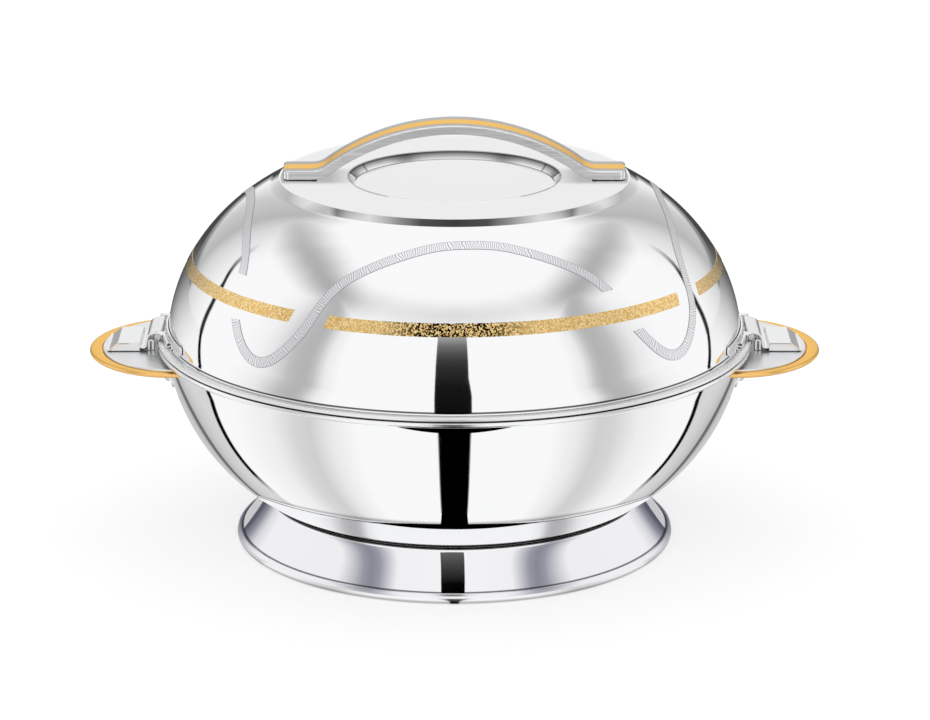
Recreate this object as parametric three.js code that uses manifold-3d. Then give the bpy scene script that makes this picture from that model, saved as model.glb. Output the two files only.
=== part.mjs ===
// Insulated chapati casserole in stainless steel: a double-walled bowl on a flared foot, a domed
// lid that lifts off, an arched handle with a gold inlay, and two oval ears under two snap latches.
// Millimetres, +Z up, ears along X, origin in the middle of the foot's underside.

import * as THREE from 'three';
import { mergeVertices } from 'three/addons/utils/BufferGeometryUtils.js';
import Module from 'manifold-3d';

const wasm = await Module();
wasm.setup();

// Driving dimensions
const rimRadius = 160;
const rimHeight = 111.8;
const bowlBottomHeight = 25;
const neckRadius = 102;
const footRadius = 118.3;
const plateauRise = 85.7;
const plateauRadius = 93.2;
const handleLength = 182;
const handleRise = 29.4;
const earReach = 47.3;
const earHalfWidth = 54;
const fitGap = 0.3;
const shellSheet = 0.8;
const linerSheet = 0.8;
const cutOverrun = 2;

// Flats round each turned piece, and the share of a radius at which the middle of a flat lies
const turnFlats = 28;
const smallFlats = 10;
const flatAngle = (2 * Math.PI) / turnFlats;
const flatShare = Math.cos(flatAngle / 2);

// Bowl, outer shell: an elliptical belly under a flange that lies inside the rim bead
const rimOverhang = 4.3;
const bellyCentreShare = 0.4833;
const bellyTopRise = 7.8;
const neckRise = 1.1;
const bellySteps = 7;
const flangeTurn = 1;
const neckTurn = 2;
const bottomDishRadius = 60;
const bottomDishRise = 3;
const bottomDishSlope = 4;
const portRadius = 12;
const rimBeadRadius = shellSheet / 2 + fitGap + linerSheet;
const rimBeadCentreRadius = rimRadius - rimBeadRadius;
const rimBeadCentreHeight = rimHeight - rimBeadRadius;
const bowlWallRadius = rimRadius - rimOverhang;
const bellyCentreRadius = neckRadius * bellyCentreShare;
const bellyReach = bowlWallRadius - bellyCentreRadius;
const bellyTopHeight = rimHeight + bellyTopRise;
const neckAngle = Math.acos((neckRadius - bellyCentreRadius) / bellyReach);
const bellyDrop = (bellyTopHeight - bowlBottomHeight - neckRise) / Math.sin(neckAngle);

// Bowl, inner liner: flange, rolled rim bead and a round-cornered well
const wallSpace = 15.7;
const mouthTurn = 3;
const rimLipRun = 1.6;
const rimBeadSteps = 4;
const wellCornerReach = 52;
const wellCornerRise = 46;
const wellSteps = 5;
const wellFloorRise = 21;
const mouthRadius = bowlWallRadius - wallSpace;
const wellFloorHeight = bowlBottomHeight + wellFloorRise;

// Insulating foam
const foamGap = 0.4;
const rivetRebate = 3;
const foamRebateDrop = 26;
const foamTopDrop = 8;

// Foot ring: a flared skirt with a rolled foot bead and a welding flange at the neck
const footSheet = 0.8;
const footBeadWidth = 5.7;
const footBeadHeight = 5.4;
const footBeadTurn = 2.3;
const footCurlRise = 4.4;
const footSkirtInset = 3.1;
const footSkirtHollow = 0.8;
const footSkirtSteps = 3;
const footFlangeWidth = 9;

// Lid, outer shell: hemmed brim, elliptical dome, stepped plateau with a round recess
const lidRimInset = 0.4;
const brimWidth = 5.5;
const brimTurn = 1.2;
const hemTurn = 0.9;
const domeCentreShare = 0.4313;
const domeTuck = 5.1;
const domeSteps = 7;
const domeStartRise = 3.5;
const stepRun = 3.9;
const stepDrop = 3.1;
const recessRadius = 56.7;
const recessDepth = 4.5;
const recessSlope = 3.4;
const lidSeatHeight = rimHeight + fitGap;
const lidFlangeTop = lidSeatHeight + linerSheet;
const brimUnderside = lidFlangeTop + fitGap;
const brimTop = brimUnderside + shellSheet;
const lidRimRadius = rimRadius - lidRimInset;
const domeWallRadius = lidRimRadius - brimWidth;
const domeCentreRadius = plateauRadius * domeCentreShare;
const domeReach = domeWallRadius - domeCentreRadius;
const domeBaseHeight = brimTop - domeTuck;
const plateauHeight = brimTop + plateauRise;
const stepRadius = plateauRadius + stepRun;
const stepAngle = Math.acos((stepRadius - domeCentreRadius) / domeReach);
const domeRise = (plateauHeight - stepDrop - domeBaseHeight) / Math.sin(stepAngle);

// Lid, inner liner: flange, locating skirt that drops into the bowl's mouth, and inner dome
const skirtGap = 1.4;
const skirtDepth = 7;
const skirtWidth = 4.6;
const skirtTurn = 1.2;
const innerDomeReach = 94;
const innerDomeRise = 70;
const innerDomeSteps = 5;
const skirtRadius = mouthRadius - skirtGap;
const innerDomeRadius = skirtRadius - skirtWidth;
const innerDomeBase = lidSeatHeight;

// Handle: an arched bar with flat feet, a groove along its top and an inlay in the groove
const handleWidth = 25;
const handleThickness = 4.6;
const handleEdge = 1.6;
const archRadius = 116;
const archBend = 14;
const archSteps = 12;
const archBendSteps = 4;
const handleEndTurn = 4;
const handleEndSteps = 3;
const inlayWidth = 10.2;
const inlayThickness = 0.9;
const grooveDepth = inlayThickness + fitGap;
const handleSeatHeight = plateauHeight + fitGap;
const handleFootTop = handleSeatHeight + handleThickness;
const handleTop = plateauHeight + handleRise;

// Handle screws and washers, fitted from inside the lid
const screwInset = 9;
const screwRadius = 1.9;
const screwHeadRadius = 3.6;
const screwHeadHeight = 2.2;
const screwBite = 2.7;
const washerRadius = 4.6;
const washerThickness = 0.8;
const screwPlace = handleLength / 2 - screwInset;

// Ears: an oval panel with a raised middle, held in a rounded gold trim
const earRootInset = 6.7;
const earTopDrop = 5.5;
const panelSheet = 1;
const panelRaise = 0.9;
const trimThickness = 2.6;
const trimDrop = 0.7;
const trimTipWidth = 6.5;
const trimSideWidth = 4.5;
const earSteps = 28;
const earRoot = bowlWallRadius - earRootInset;
const earTop = rimHeight - earTopDrop;
const trimTop = earTop - trimDrop;
const trimBottom = trimTop - trimThickness;

// Shares of the trim's width at which its section and the panel's turn
const trimRoundShare = 0.2;
const trimBellyShare = 0.5;
const trimLedgeShare = 1.4;
const panelEdgeShare = 1.08;
const panelRoundShare = 1.22;
const panelStepShare = 1.5;
const panelInnerShare = 1.62;

// Ear brackets and rivets
const bracketSheet = 1.2;
const bracketHalfWidth = 18.5;
const bracketDrop = 21.3;
const bracketTurn = 8;
const bracketSteps = 3;
const tongueReach = 17;
const rivetDrop = 12.8;
const rivetSpread = 10.5;
const rivetHeadRadius = 4.5;
const rivetHeadHeight = 2.8;
const rivetHeadSteps = 3;
const rivetShankRadius = 1.8;
const rivetTailRadius = 2.8;
const rivetTailHeight = 1;
const tongueTop = earTop - panelSheet - fitGap;

// Latches: hinge bracket on the lid, pin, sprung strap, and keeper on the ear
const strapSheet = 0.75;
const strapHalfWidth = 15.5;
const pinRadius = 0.8;
const pinClearance = 0.12;
const pinHeadRadius = 1.5;
const pinHeadLength = 0.8;
const knuckleLength = 4.5;
const knuckleSteps = 8;
const rollAngle = Math.PI / 9;
const hingeInset = 1.9;
const boreRadius = pinRadius + pinClearance;
const knuckleRadius = boreRadius + strapSheet;
const hingeReach = rimRadius - hingeInset;
const hingeHeight = brimTop + fitGap + knuckleRadius;
const stripSheet = 1;
const stripHalfLength = 58;
const stripRise = 4.6;
const stripEndTurn = 2;
const stripBeadHalfLength = 35;
const stripBeadRadius = 1.5;
const stripBeadSteps = 7;
const stripSteps = 2;
const crestRun = 6.3;
const crestDrop = 1.6;
const crestTurn = 3.5;
const catchRun = 1.2;
const valleyWidth = 2.4;
const valleyTurn = 0.9;
const valleyRise = 2.6;
const tabRise = 5;
const tabLength = 12;
const tabSlope = 5;
const tabTurn = 0.8;
const strapTurnSteps = 3;
const tabHover = 0.5;
const tipLip = 1.2;
const keeperInset = 1.1;
const keeperWidth = 2.9;
const keeperTurn = 1.1;
const keeperSheet = 0.7;
const keeperHalfWidth = 13;
const keeperDrop = 5.3;

// Finishes
const finishes = {
  mirrorSteel: { color: 0xd4d7da, roughness: 0.08, metalness: 1 },
  satinSteel: { color: 0xc4c8cb, roughness: 0.3, metalness: 1 },
  gold: { color: 0xe9b25f, roughness: 0.25, metalness: 1 },
  foam: { color: 0xe6d8a8, roughness: 0.95, metalness: 0 },
  plug: { color: 0x2c2d2f, roughness: 0.6, metalness: 0 },
};

// Points along part of an ellipse in a section plane, angles from +X towards +Y
function ellipseArc(centreX, centreY, reachX, reachY, from, to, steps) {
  const points = [];
  for (let step = 0; step <= steps; step += 1) {
    const angle = from + ((to - from) * step) / steps;
    points.push([centreX + reachX * Math.cos(angle), centreY + reachY * Math.sin(angle)]);
  }
  return points;
}

// A path through corners; a corner with a third value is rounded to that radius
function roundedPath(corners, turnSteps = 2) {
  const points = [];
  corners.forEach(([x, y, turn], index) => {
    const corner = new THREE.Vector2(x, y);
    if (!turn) {
      points.push(corner);
      return;
    }
    const toBefore = new THREE.Vector2(...corners[index - 1]).sub(corner).normalize();
    const toAfter = new THREE.Vector2(...corners[index + 1]).sub(corner).normalize();
    const half = Math.acos(THREE.MathUtils.clamp(toBefore.dot(toAfter), -1, 1)) / 2;
    const middle = toBefore.clone().add(toAfter).normalize();
    const centre = corner.clone().addScaledVector(middle, turn / Math.sin(half));
    const start = corner.clone().addScaledVector(toBefore, turn / Math.tan(half)).sub(centre);
    const end = corner.clone().addScaledVector(toAfter, turn / Math.tan(half)).sub(centre);
    const sweep = Math.atan2(start.cross(end), start.dot(end));
    for (let step = 0; step <= turnSteps; step += 1) {
      const angle = (sweep * step) / turnSteps;
      points.push(start.clone().rotateAround(new THREE.Vector2(), angle).add(centre));
    }
  });
  return points;
}

// The path moved to its left by a distance, with mitred corners
function offsetPath(path, distance) {
  const normals = path.slice(1).map((point, index) => {
    const along = point.clone().sub(path[index]).normalize();
    return new THREE.Vector2(-along.y, along.x);
  });
  return path.map((point, index) => {
    const before = normals[Math.max(index - 1, 0)];
    const after = normals[Math.min(index, normals.length - 1)];
    const mitre = before.clone().add(after).divideScalar(1 + before.dot(after));
    return point.clone().addScaledVector(mitre, distance);
  });
}

// The stretch of a path between two heights, cut through where it crosses them
function pathBetween(path, low, high) {
  const points = [];
  path.forEach((point, index) => {
    const before = path[index - 1] ?? point;
    const ends = point.y > before.y ? [low, high] : [high, low];
    ends.filter((height) => (height - before.y) * (height - point.y) < 0).forEach((height) => {
      points.push(before.clone().lerp(point, (height - before.y) / (point.y - before.y)));
    });
    if (point.y >= low && point.y <= high) {
      points.push(point);
    }
  });
  return points;
}

// Outline of bent sheet metal: the path is one face, the metal lies on its left
function sheetOutline(path, thickness) {
  const back = offsetPath(path, thickness).reverse();
  return path[0].x === 0 ? [...path, ...back] : [...back, ...path];
}

// A section of radius and height turned round the Z axis
function turned(outline, flats = turnFlats) {
  const onAxis = outline[0].x === 0;
  const section = onAxis ? outline : [...outline, outline[0]];
  return new THREE.LatheGeometry(section, flats).rotateX(Math.PI / 2);
}

// An outline in the XZ plane with its thickness along Y, between two places
function alongY(outline, from, to) {
  const shape = new THREE.Shape(outline);
  const geometry = new THREE.ExtrudeGeometry(shape, { depth: to - from, bevelEnabled: false });
  return geometry.rotateX(Math.PI / 2).translate(0, to, 0);
}

// An outline in the YZ plane with its thickness along X, between two places
function alongX(outline, from, to) {
  const shape = new THREE.Shape(outline);
  const geometry = new THREE.ExtrudeGeometry(shape, { depth: to - from, bevelEnabled: false });
  const axes = [new THREE.Vector3(0, 1, 0), new THREE.Vector3(0, 0, 1), new THREE.Vector3(1, 0, 0)];
  return geometry.applyMatrix4(new THREE.Matrix4().makeBasis(...axes)).translate(from, 0, 0);
}

// Ovals of [reach along X, reach along Y, height] skinned one to the next, the last to the first
// unless both ends close on the axis
function ovalLoft(ovals, steps) {
  const closed = ovals[0][0] !== 0;
  const rings = closed ? [...ovals, ovals[0]] : ovals;
  const positions = [];
  const index = [];
  rings.forEach(([reachX, reachY, height], ring) => {
    for (let step = 0; step < steps; step += 1) {
      const angle = (2 * Math.PI * step) / steps;
      positions.push(reachX * Math.cos(angle), reachY * Math.sin(angle), height);
      if (ring > 0) {
        const next = (step + 1) % steps;
        const low = (ring - 1) * steps;
        const high = ring * steps;
        index.push(low + step, low + next, high + next, low + step, high + next, high + step);
      }
    }
  });
  const geometry = new THREE.BufferGeometry();
  geometry.setAttribute('position', new THREE.Float32BufferAttribute(positions, 3));
  geometry.setIndex(index);
  return geometry;
}

// A section of [across, up] points carried along stations of { point, up } in the XZ plane
function sweptBar(section, stations) {
  const positions = [];
  const index = [];
  const count = section.length;
  stations.forEach(({ point, up }, station) => {
    section.forEach(([across, rise], corner) => {
      positions.push(point.x + up.x * rise, across, point.y + up.y * rise);
      if (station > 0) {
        const next = (corner + 1) % count;
        const low = (station - 1) * count;
        const high = station * count;
        index.push(low + corner, low + next, high + next, low + corner, high + next, high + corner);
      }
    });
  });
  const outline = section.map(([across, rise]) => new THREE.Vector2(across, rise));
  const last = (stations.length - 1) * count;
  THREE.ShapeUtils.triangulateShape(outline, []).forEach(([a, b, c]) => {
    index.push(c, b, a, last + a, last + b, last + c);
  });
  const geometry = new THREE.BufferGeometry();
  geometry.setAttribute('position', new THREE.Float32BufferAttribute(positions, 3));
  geometry.setIndex(index);
  return geometry;
}

// A closed geometry as a solid that can be joined and cut
function solid(geometry) {
  const bare = geometry.clone();
  bare.deleteAttribute('normal');
  bare.deleteAttribute('uv');
  const merged = mergeVertices(bare);
  const order = merged.index.array;
  const kept = [];
  for (let corner = 0; corner < order.length; corner += 3) {
    const [a, b, c] = order.slice(corner, corner + 3);
    if (a !== b && b !== c && c !== a) {
      kept.push(a, b, c);
    }
  }
  const vertProperties = new Float32Array(merged.attributes.position.array);
  return new wasm.Manifold(new wasm.Mesh({ numProp: 3, vertProperties, triVerts: new Uint32Array(kept) }));
}

// The geometry of a solid
function geometryOf(body) {
  const mesh = body.getMesh();
  const geometry = new THREE.BufferGeometry();
  geometry.setAttribute('position', new THREE.BufferAttribute(mesh.vertProperties, 3));
  geometry.setIndex(new THREE.BufferAttribute(mesh.triVerts, 1));
  geometry.computeVertexNormals();
  return geometry;
}

function addPiece(parent, name, geometry, finish) {
  const mesh = new THREE.Mesh(geometry, new THREE.MeshStandardMaterial(finishes[finish]));
  mesh.name = name;
  parent.add(mesh);
  return mesh;
}

// Angle on the belly at a height, below the horizontal
const bellyAngleAtHeight = (height) => Math.asin((bellyTopHeight - height) / bellyDrop);

// Belly from a lower angle up to an upper one, as a path up its outer face
function bellyPath(lower, upper, steps) {
  return ellipseArc(bellyCentreRadius, bellyTopHeight, bellyReach, bellyDrop, -lower, -upper, steps);
}

// Dome from a lower angle up to an upper one, as a path up its outer face
const domeAngleAtHeight = (height) => Math.asin((height - domeBaseHeight) / domeRise);
function domePath(lower, upper, steps) {
  return ellipseArc(domeCentreRadius, domeBaseHeight, domeReach, domeRise, lower, upper, steps);
}

// The stretches of belly and dome that the two outer shells are pressed to
function outerBelly() {
  const flangeHeight = rimBeadCentreHeight - shellSheet / 2;
  const upper = bellyAngleAtHeight(flangeHeight - flangeTurn);
  return bellyPath(neckAngle, upper, bellySteps);
}

function outerDome() {
  const lower = domeAngleAtHeight(brimTop + domeStartRise);
  return domePath(lower, stepAngle, domeSteps);
}

// Where a rivet goes through the wall of the bowl, its own Z along the wall's outward normal.
// Rivets stand on the two flats that meet at the X axis, square to them.
function rivetMatrix(side) {
  const fall = bellyAngleAtHeight(earTop - rivetDrop);
  const turn = (side * flatAngle) / 2;
  const tilt = Math.atan2(Math.sin(fall) * bellyReach, Math.cos(fall) * bellyDrop);
  const radius = (bellyCentreRadius + bellyReach * Math.cos(fall)) * flatShare;
  const height = bellyTopHeight - bellyDrop * Math.sin(fall);
  const place = new THREE.Matrix4().makeRotationZ(turn);
  const alongFlat = (side * (rivetSpread - radius * Math.sin(flatAngle / 2))) / flatShare;
  place.multiply(new THREE.Matrix4().makeTranslation(radius, alongFlat, height));
  return place.multiply(new THREE.Matrix4().makeRotationY(Math.PI / 2 + tilt));
}

// A round cutter for the rivet holes of one ear, through bracket and shell
function rivetHoles(turn) {
  const depth = bracketSheet + shellSheet + 2 * fitGap + 2 * cutOverrun;
  const cutters = [-1, 1].map((side) => {
    const round = new THREE.CylinderGeometry(
      rivetShankRadius + fitGap,
      rivetShankRadius + fitGap,
      2 * depth,
      smallFlats,
    );
    return solid(round.rotateX(Math.PI / 2).applyMatrix4(rivetMatrix(side)).rotateZ(turn));
  });
  return cutters[0].add(cutters[1]);
}

function bowlOuterShell() {
  const dishRadius = bottomDishRadius + bottomDishSlope;
  const path = roundedPath([
    [portRadius + fitGap, bowlBottomHeight + bottomDishRise],
    [bottomDishRadius, bowlBottomHeight + bottomDishRise],
    [dishRadius, bowlBottomHeight],
    [neckRadius - neckTurn, bowlBottomHeight, neckTurn],
    ...outerBelly(),
    [bowlWallRadius - shellSheet / 2, rimBeadCentreHeight - shellSheet / 2],
    [rimBeadCentreRadius, rimBeadCentreHeight - shellSheet / 2],
  ]);
  const shell = solid(turned(sheetOutline(path, shellSheet)));
  return geometryOf(shell.subtract(rivetHoles(0)).subtract(rivetHoles(Math.PI)));
}

// Face of the liner that touches the food, from its rim bead to the middle of its floor
function bowlLinerPath() {
  const lipHeight = rimBeadCentreHeight - rimBeadRadius;
  const bead = ellipseArc(
    rimBeadCentreRadius, rimBeadCentreHeight, rimBeadRadius, rimBeadRadius,
    -Math.PI / 2, Math.PI / 2, rimBeadSteps,
  );
  const corner = ellipseArc(
    mouthRadius - wellCornerReach, wellFloorHeight + wellCornerRise, wellCornerReach, wellCornerRise,
    0, -Math.PI / 2, wellSteps,
  );
  return roundedPath([
    [rimBeadCentreRadius - rimLipRun, lipHeight],
    ...bead,
    [mouthRadius, rimHeight, mouthTurn],
    ...corner,
    [0, wellFloorHeight],
  ]);
}

// Foam between the bowl's walls, rebated near the top to clear the rivets' tails
function bowlFoam() {
  const topHeight = rimHeight - foamTopDrop;
  const rebateHeight = rimHeight - foamRebateDrop;
  const floor = bowlBottomHeight + bottomDishRise + shellSheet + foamGap;
  const well = offsetPath(bowlLinerPath(), linerSheet + foamGap);
  const inner = pathBetween(well, floor, topHeight);
  const wall = offsetPath(roundedPath(outerBelly()), shellSheet + foamGap);
  const belly = pathBetween(wall, floor, rebateHeight);
  const rebateRadius = belly[belly.length - 1].x - rivetRebate;
  const outline = [
    new THREE.Vector2(0, floor),
    ...belly,
    new THREE.Vector2(rebateRadius, rebateHeight),
    new THREE.Vector2(rebateRadius, topHeight),
    ...inner,
  ];
  return turned(outline);
}

function footRing() {
  const neckTop = bowlBottomHeight - fitGap;
  const skirtRadius = footRadius - footSkirtInset;
  const skirt = new THREE.QuadraticBezierCurve(
    new THREE.Vector2(skirtRadius, footBeadHeight),
    new THREE.Vector2(
      (skirtRadius + neckRadius) / 2 - footSkirtHollow,
      (footBeadHeight + neckTop) / 2,
    ),
    new THREE.Vector2(neckRadius, neckTop - footSheet),
  ).getPoints(footSkirtSteps);
  const path = roundedPath([
    [footRadius - footBeadWidth, footCurlRise],
    [footRadius - footBeadWidth, 0, footBeadTurn],
    [footRadius, 0, footBeadTurn],
    [footRadius, footBeadHeight, footBeadTurn],
    ...skirt.map((point) => [point.x, point.y]),
    [neckRadius - footSheet, neckTop],
    [neckRadius - footFlangeWidth, neckTop],
  ]);
  return turned(sheetOutline(path, footSheet));
}

// Plug that closes the hole through which the bowl's walls are filled with foam
function foamPortPlug() {
  const underside = bowlBottomHeight + bottomDishRise - fitGap - linerSheet;
  const outline = roundedPath([
    [0, underside],
    [portRadius + footSheet + linerSheet, underside],
    [portRadius + footSheet + linerSheet, underside + linerSheet],
    [portRadius, underside + linerSheet],
    [portRadius, underside + linerSheet + fitGap + shellSheet],
    [0, underside + linerSheet + fitGap + shellSheet],
  ]);
  return turned(outline, smallFlats);
}

function lidOuterShell() {
  const hemBottom = lidSeatHeight;
  const wallRadius = domeCentreRadius + domeReach * Math.cos(domeAngleAtHeight(brimTop));
  const path = roundedPath([
    [lidRimRadius, hemBottom],
    [lidRimRadius, brimTop, hemTurn],
    [wallRadius, brimTop, brimTurn],
    ...outerDome(),
    [plateauRadius, plateauHeight],
    [recessRadius, plateauHeight],
    [recessRadius - recessSlope, plateauHeight - recessDepth],
    [0, plateauHeight - recessDepth],
  ]);
  const shell = solid(turned(sheetOutline(path, shellSheet)));
  return geometryOf([-1, 1].reduce((body, side) => body.subtract(screwHole(side)), shell));
}

// Clearance hole for a handle screw, through the plateau and up into the handle's foot
function screwHole(side) {
  const radius = screwRadius + fitGap;
  const from = plateauHeight - shellSheet - cutOverrun;
  const to = handleSeatHeight + screwBite + fitGap;
  const round = new THREE.CylinderGeometry(radius, radius, to - from, smallFlats);
  return solid(round.rotateX(Math.PI / 2).translate(side * screwPlace, 0, (from + to) / 2));
}

// Face of the lid's liner that shows from below, from the middle of its dome to its flange
function lidLinerPath() {
  const dome = ellipseArc(
    innerDomeRadius - innerDomeReach, innerDomeBase, innerDomeReach, innerDomeRise,
    Math.PI / 2, 0, innerDomeSteps,
  );
  const skirtBottom = lidSeatHeight - skirtDepth;
  return roundedPath([
    [0, innerDomeBase + innerDomeRise],
    ...dome,
    [innerDomeRadius, skirtBottom, skirtTurn],
    [skirtRadius, skirtBottom, skirtTurn],
    [skirtRadius, lidSeatHeight],
    [lidRimRadius - shellSheet - fitGap, lidSeatHeight],
  ]);
}

// Foam between the lid's walls, flat on top so that the handle's screws clear it
function lidFoam() {
  const bottom = brimTop + domeStartRise;
  const top = plateauHeight - recessDepth - shellSheet - foamGap;
  const liner = offsetPath(lidLinerPath().slice(0, innerDomeSteps + 2), linerSheet + foamGap);
  const wall = offsetPath(roundedPath(outerDome()), shellSheet + foamGap);
  const outline = [
    ...pathBetween(liner, bottom, top),
    ...pathBetween(wall, bottom, top),
    new THREE.Vector2(0, top),
  ];
  return turned(outline);
}

// Stations along the middle of the handle's top: foot, bend, arch, bend, foot
function handleStations() {
  const archCentre = handleTop - archRadius;
  const bendCentreHeight = handleFootTop + archBend;
  const reach = archRadius + archBend;
  const bendCentre = Math.sqrt(reach ** 2 - (bendCentreHeight - archCentre) ** 2);
  const lean = Math.atan2(bendCentre, bendCentreHeight - archCentre);
  const half = [];
  const addStation = (x, y, radius, angle) => {
    const up = new THREE.Vector2(Math.sin(angle), Math.cos(angle));
    half.push({ point: new THREE.Vector2(x, y).addScaledVector(up, radius), up });
  };
  for (let step = 0; step <= archSteps / 2; step += 1) {
    addStation(0, archCentre, archRadius, (lean * step * 2) / archSteps);
  }
  for (let step = 1; step <= archBendSteps; step += 1) {
    addStation(bendCentre, bendCentreHeight, -archBend, lean * (1 - step / archBendSteps));
  }
  addStation(handleLength / 2 + cutOverrun, handleFootTop, 0, 0);
  const mirrored = half.slice(1).reverse().map(({ point, up }) => ({
    point: new THREE.Vector2(-point.x, point.y),
    up: new THREE.Vector2(-up.x, up.y),
  }));
  return [...mirrored, ...half];
}

// Plan outline of the handle with rounded ends, as a tall block that trims the swept bars
function handlePlan() {
  const endX = handleLength / 2;
  const endY = handleWidth / 2 + cutOverrun;
  const turn = handleEndTurn + cutOverrun;
  const ring = [
    [0, -endY], [endX, -endY, turn], [endX, endY, turn], [-endX, endY, turn], [-endX, -endY, turn],
  ];
  const outline = roundedPath([...ring, ring[0]], handleEndSteps).slice(1);
  const depth = handleTop - plateauHeight + 2 * cutOverrun;
  const block = new THREE.ExtrudeGeometry(new THREE.Shape(outline), { depth, bevelEnabled: false });
  return solid(block.translate(0, 0, plateauHeight - cutOverrun));
}

function topHandle() {
  const side = handleWidth / 2;
  const groove = inlayWidth / 2 + fitGap;
  const section = [
    [-side + handleEdge, -handleThickness], [side - handleEdge, -handleThickness],
    [side, handleEdge - handleThickness], [side, -handleEdge], [side - handleEdge, 0],
    [groove, 0], [groove, -grooveDepth], [-groove, -grooveDepth], [-groove, 0],
    [-side + handleEdge, 0], [-side, -handleEdge], [-side, handleEdge - handleThickness],
  ];
  const bar = solid(sweptBar(section, handleStations())).intersect(handlePlan());
  return geometryOf([-1, 1].reduce((body, end) => body.subtract(screwHole(end)), bar));
}

function topHandleInlay() {
  const side = inlayWidth / 2;
  const section = [[-side, -inlayThickness], [side, -inlayThickness], [side, 0], [-side, 0]];
  return geometryOf(solid(sweptBar(section, handleStations())).intersect(handlePlan()));
}

function handleScrew() {
  const headTop = plateauHeight - shellSheet - 2 * fitGap - washerThickness;
  const outline = roundedPath([
    [0, headTop - screwHeadHeight],
    [screwHeadRadius - screwRadius / 2, headTop - screwHeadHeight],
    [screwHeadRadius, headTop - screwHeadHeight / 2],
    [screwHeadRadius, headTop],
    [screwRadius, headTop],
    [screwRadius, handleSeatHeight + screwBite],
    [0, handleSeatHeight + screwBite],
  ]);
  return turned(outline, smallFlats);
}

function handleWasher() {
  const top = plateauHeight - shellSheet - fitGap;
  const hole = screwRadius + fitGap;
  const outline = roundedPath([
    [hole, top - washerThickness], [washerRadius, top - washerThickness], [washerRadius, top], [hole, top],
  ]);
  return turned(outline, smallFlats);
}

// The bowl's belly grown by the fit gap, which trims whatever butts against the wall
function bellyKeepOut() {
  const lower = bellyAngleAtHeight(earTop - bracketDrop - cutOverrun);
  const upper = bellyAngleAtHeight(rimBeadCentreHeight);
  const wall = offsetPath(roundedPath(bellyPath(lower, upper, bracketSteps)), -fitGap);
  const bottom = new THREE.Vector2(0, wall[0].y);
  const top = new THREE.Vector2(0, wall[bracketSteps].y);
  return solid(turned([bottom, ...wall, top]));
}

// Reaches of the ear's oval at a share of the trim's width in from its edge
function earOval(share, height) {
  return [earReach - trimTipWidth * share, earHalfWidth - trimSideWidth * share, height];
}

function earPanel() {
  const flangeBottom = earTop - panelRaise - panelSheet;
  const loft = ovalLoft([
    [0, 0, earTop - panelSheet],
    earOval(panelInnerShare, earTop - panelSheet),
    earOval(panelStepShare, flangeBottom),
    earOval(panelEdgeShare, flangeBottom),
    earOval(panelEdgeShare, trimTop),
    earOval(panelRoundShare, earTop),
    [0, 0, earTop],
  ], earSteps);
  return geometryOf(solid(loft.translate(earRoot, 0, 0)).subtract(bellyKeepOut()));
}

function earTrim() {
  const ledgeTop = earTop - panelRaise - panelSheet - fitGap;
  const middle = (trimTop + trimBottom) / 2;
  const loft = ovalLoft([
    earOval(0, middle),
    earOval(trimRoundShare / 2, trimTop - (trimTop - middle) / 2),
    earOval(trimBellyShare, trimTop),
    earOval(1, trimTop - fitGap),
    earOval(1, ledgeTop),
    earOval(trimLedgeShare, ledgeTop),
    earOval(trimLedgeShare, trimBottom),
    earOval(trimRoundShare, trimBottom),
  ], earSteps);
  return geometryOf(solid(loft.translate(earRoot, 0, 0)).subtract(bellyKeepOut()));
}

// Bracket: a plate pressed to the bowl's belly with a tongue turned out under the ear
function earBracket() {
  const bottom = earTop - bracketDrop;
  const lower = bellyAngleAtHeight(bottom - cutOverrun);
  const upper = bellyAngleAtHeight(tongueTop + cutOverrun);
  const face = offsetPath(roundedPath(bellyPath(lower, upper, bracketSteps)), -fitGap - bracketSheet);
  const ring = solid(turned(sheetOutline(face, bracketSheet)));
  const half = bracketHalfWidth;
  const outline = roundedPath([
    [-half, tongueTop], [-half, bottom, bracketTurn], [half, bottom, bracketTurn], [half, tongueTop],
  ], bracketSteps);
  const plate = ring.intersect(solid(alongX(outline, earRoot - earReach, earRoot + earReach)));
  const tongueEnd = bowlWallRadius + tongueReach;
  const tongue = solid(alongY(roundedPath([
    [earRoot, tongueTop - bracketSheet], [tongueEnd, tongueTop - bracketSheet],
    [tongueEnd, tongueTop], [earRoot, tongueTop],
  ]), -half, half));
  return geometryOf(plate.add(tongue.subtract(bellyKeepOut())).subtract(rivetHoles(0)));
}

// Rivet along its own Z: domed head outside, shank, and tail upset inside the shell
function earRivet() {
  const seat = fitGap + bracketSheet + fitGap;
  const tail = -shellSheet - fitGap;
  const dome = ellipseArc(
    0, seat, rivetHeadRadius, rivetHeadHeight, 0, Math.PI / 2, rivetHeadSteps,
  ).slice(0, rivetHeadSteps);
  const outline = roundedPath([
    [0, tail - rivetTailHeight],
    [rivetTailRadius, tail - rivetTailHeight],
    [rivetTailRadius, tail],
    [rivetShankRadius, tail],
    [rivetShankRadius, seat],
    ...dome,
    [0, seat + rivetHeadHeight],
  ]);
  return turned(outline, smallFlats);
}

// Keeper: a folded channel on the ear that stands inside the strap's catch
function latchKeeper() {
  const inner = rimRadius + keeperInset;
  const outer = inner + keeperWidth;
  const foot = earTop + fitGap;
  const top = hingeHeight + knuckleRadius - keeperDrop;
  const path = roundedPath([
    [outer, foot], [outer, top, keeperTurn], [inner, top, keeperTurn], [inner, foot],
  ]);
  return alongY(sheetOutline(path, keeperSheet), -keeperHalfWidth, keeperHalfWidth);
}

// The outer face of sheet rolled round the hinge axis, from one angle up to the top
function rolledEdge(from) {
  return ellipseArc(
    hingeReach, hingeHeight, knuckleRadius, knuckleRadius, from, Math.PI / 2, knuckleSteps,
  );
}

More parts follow.
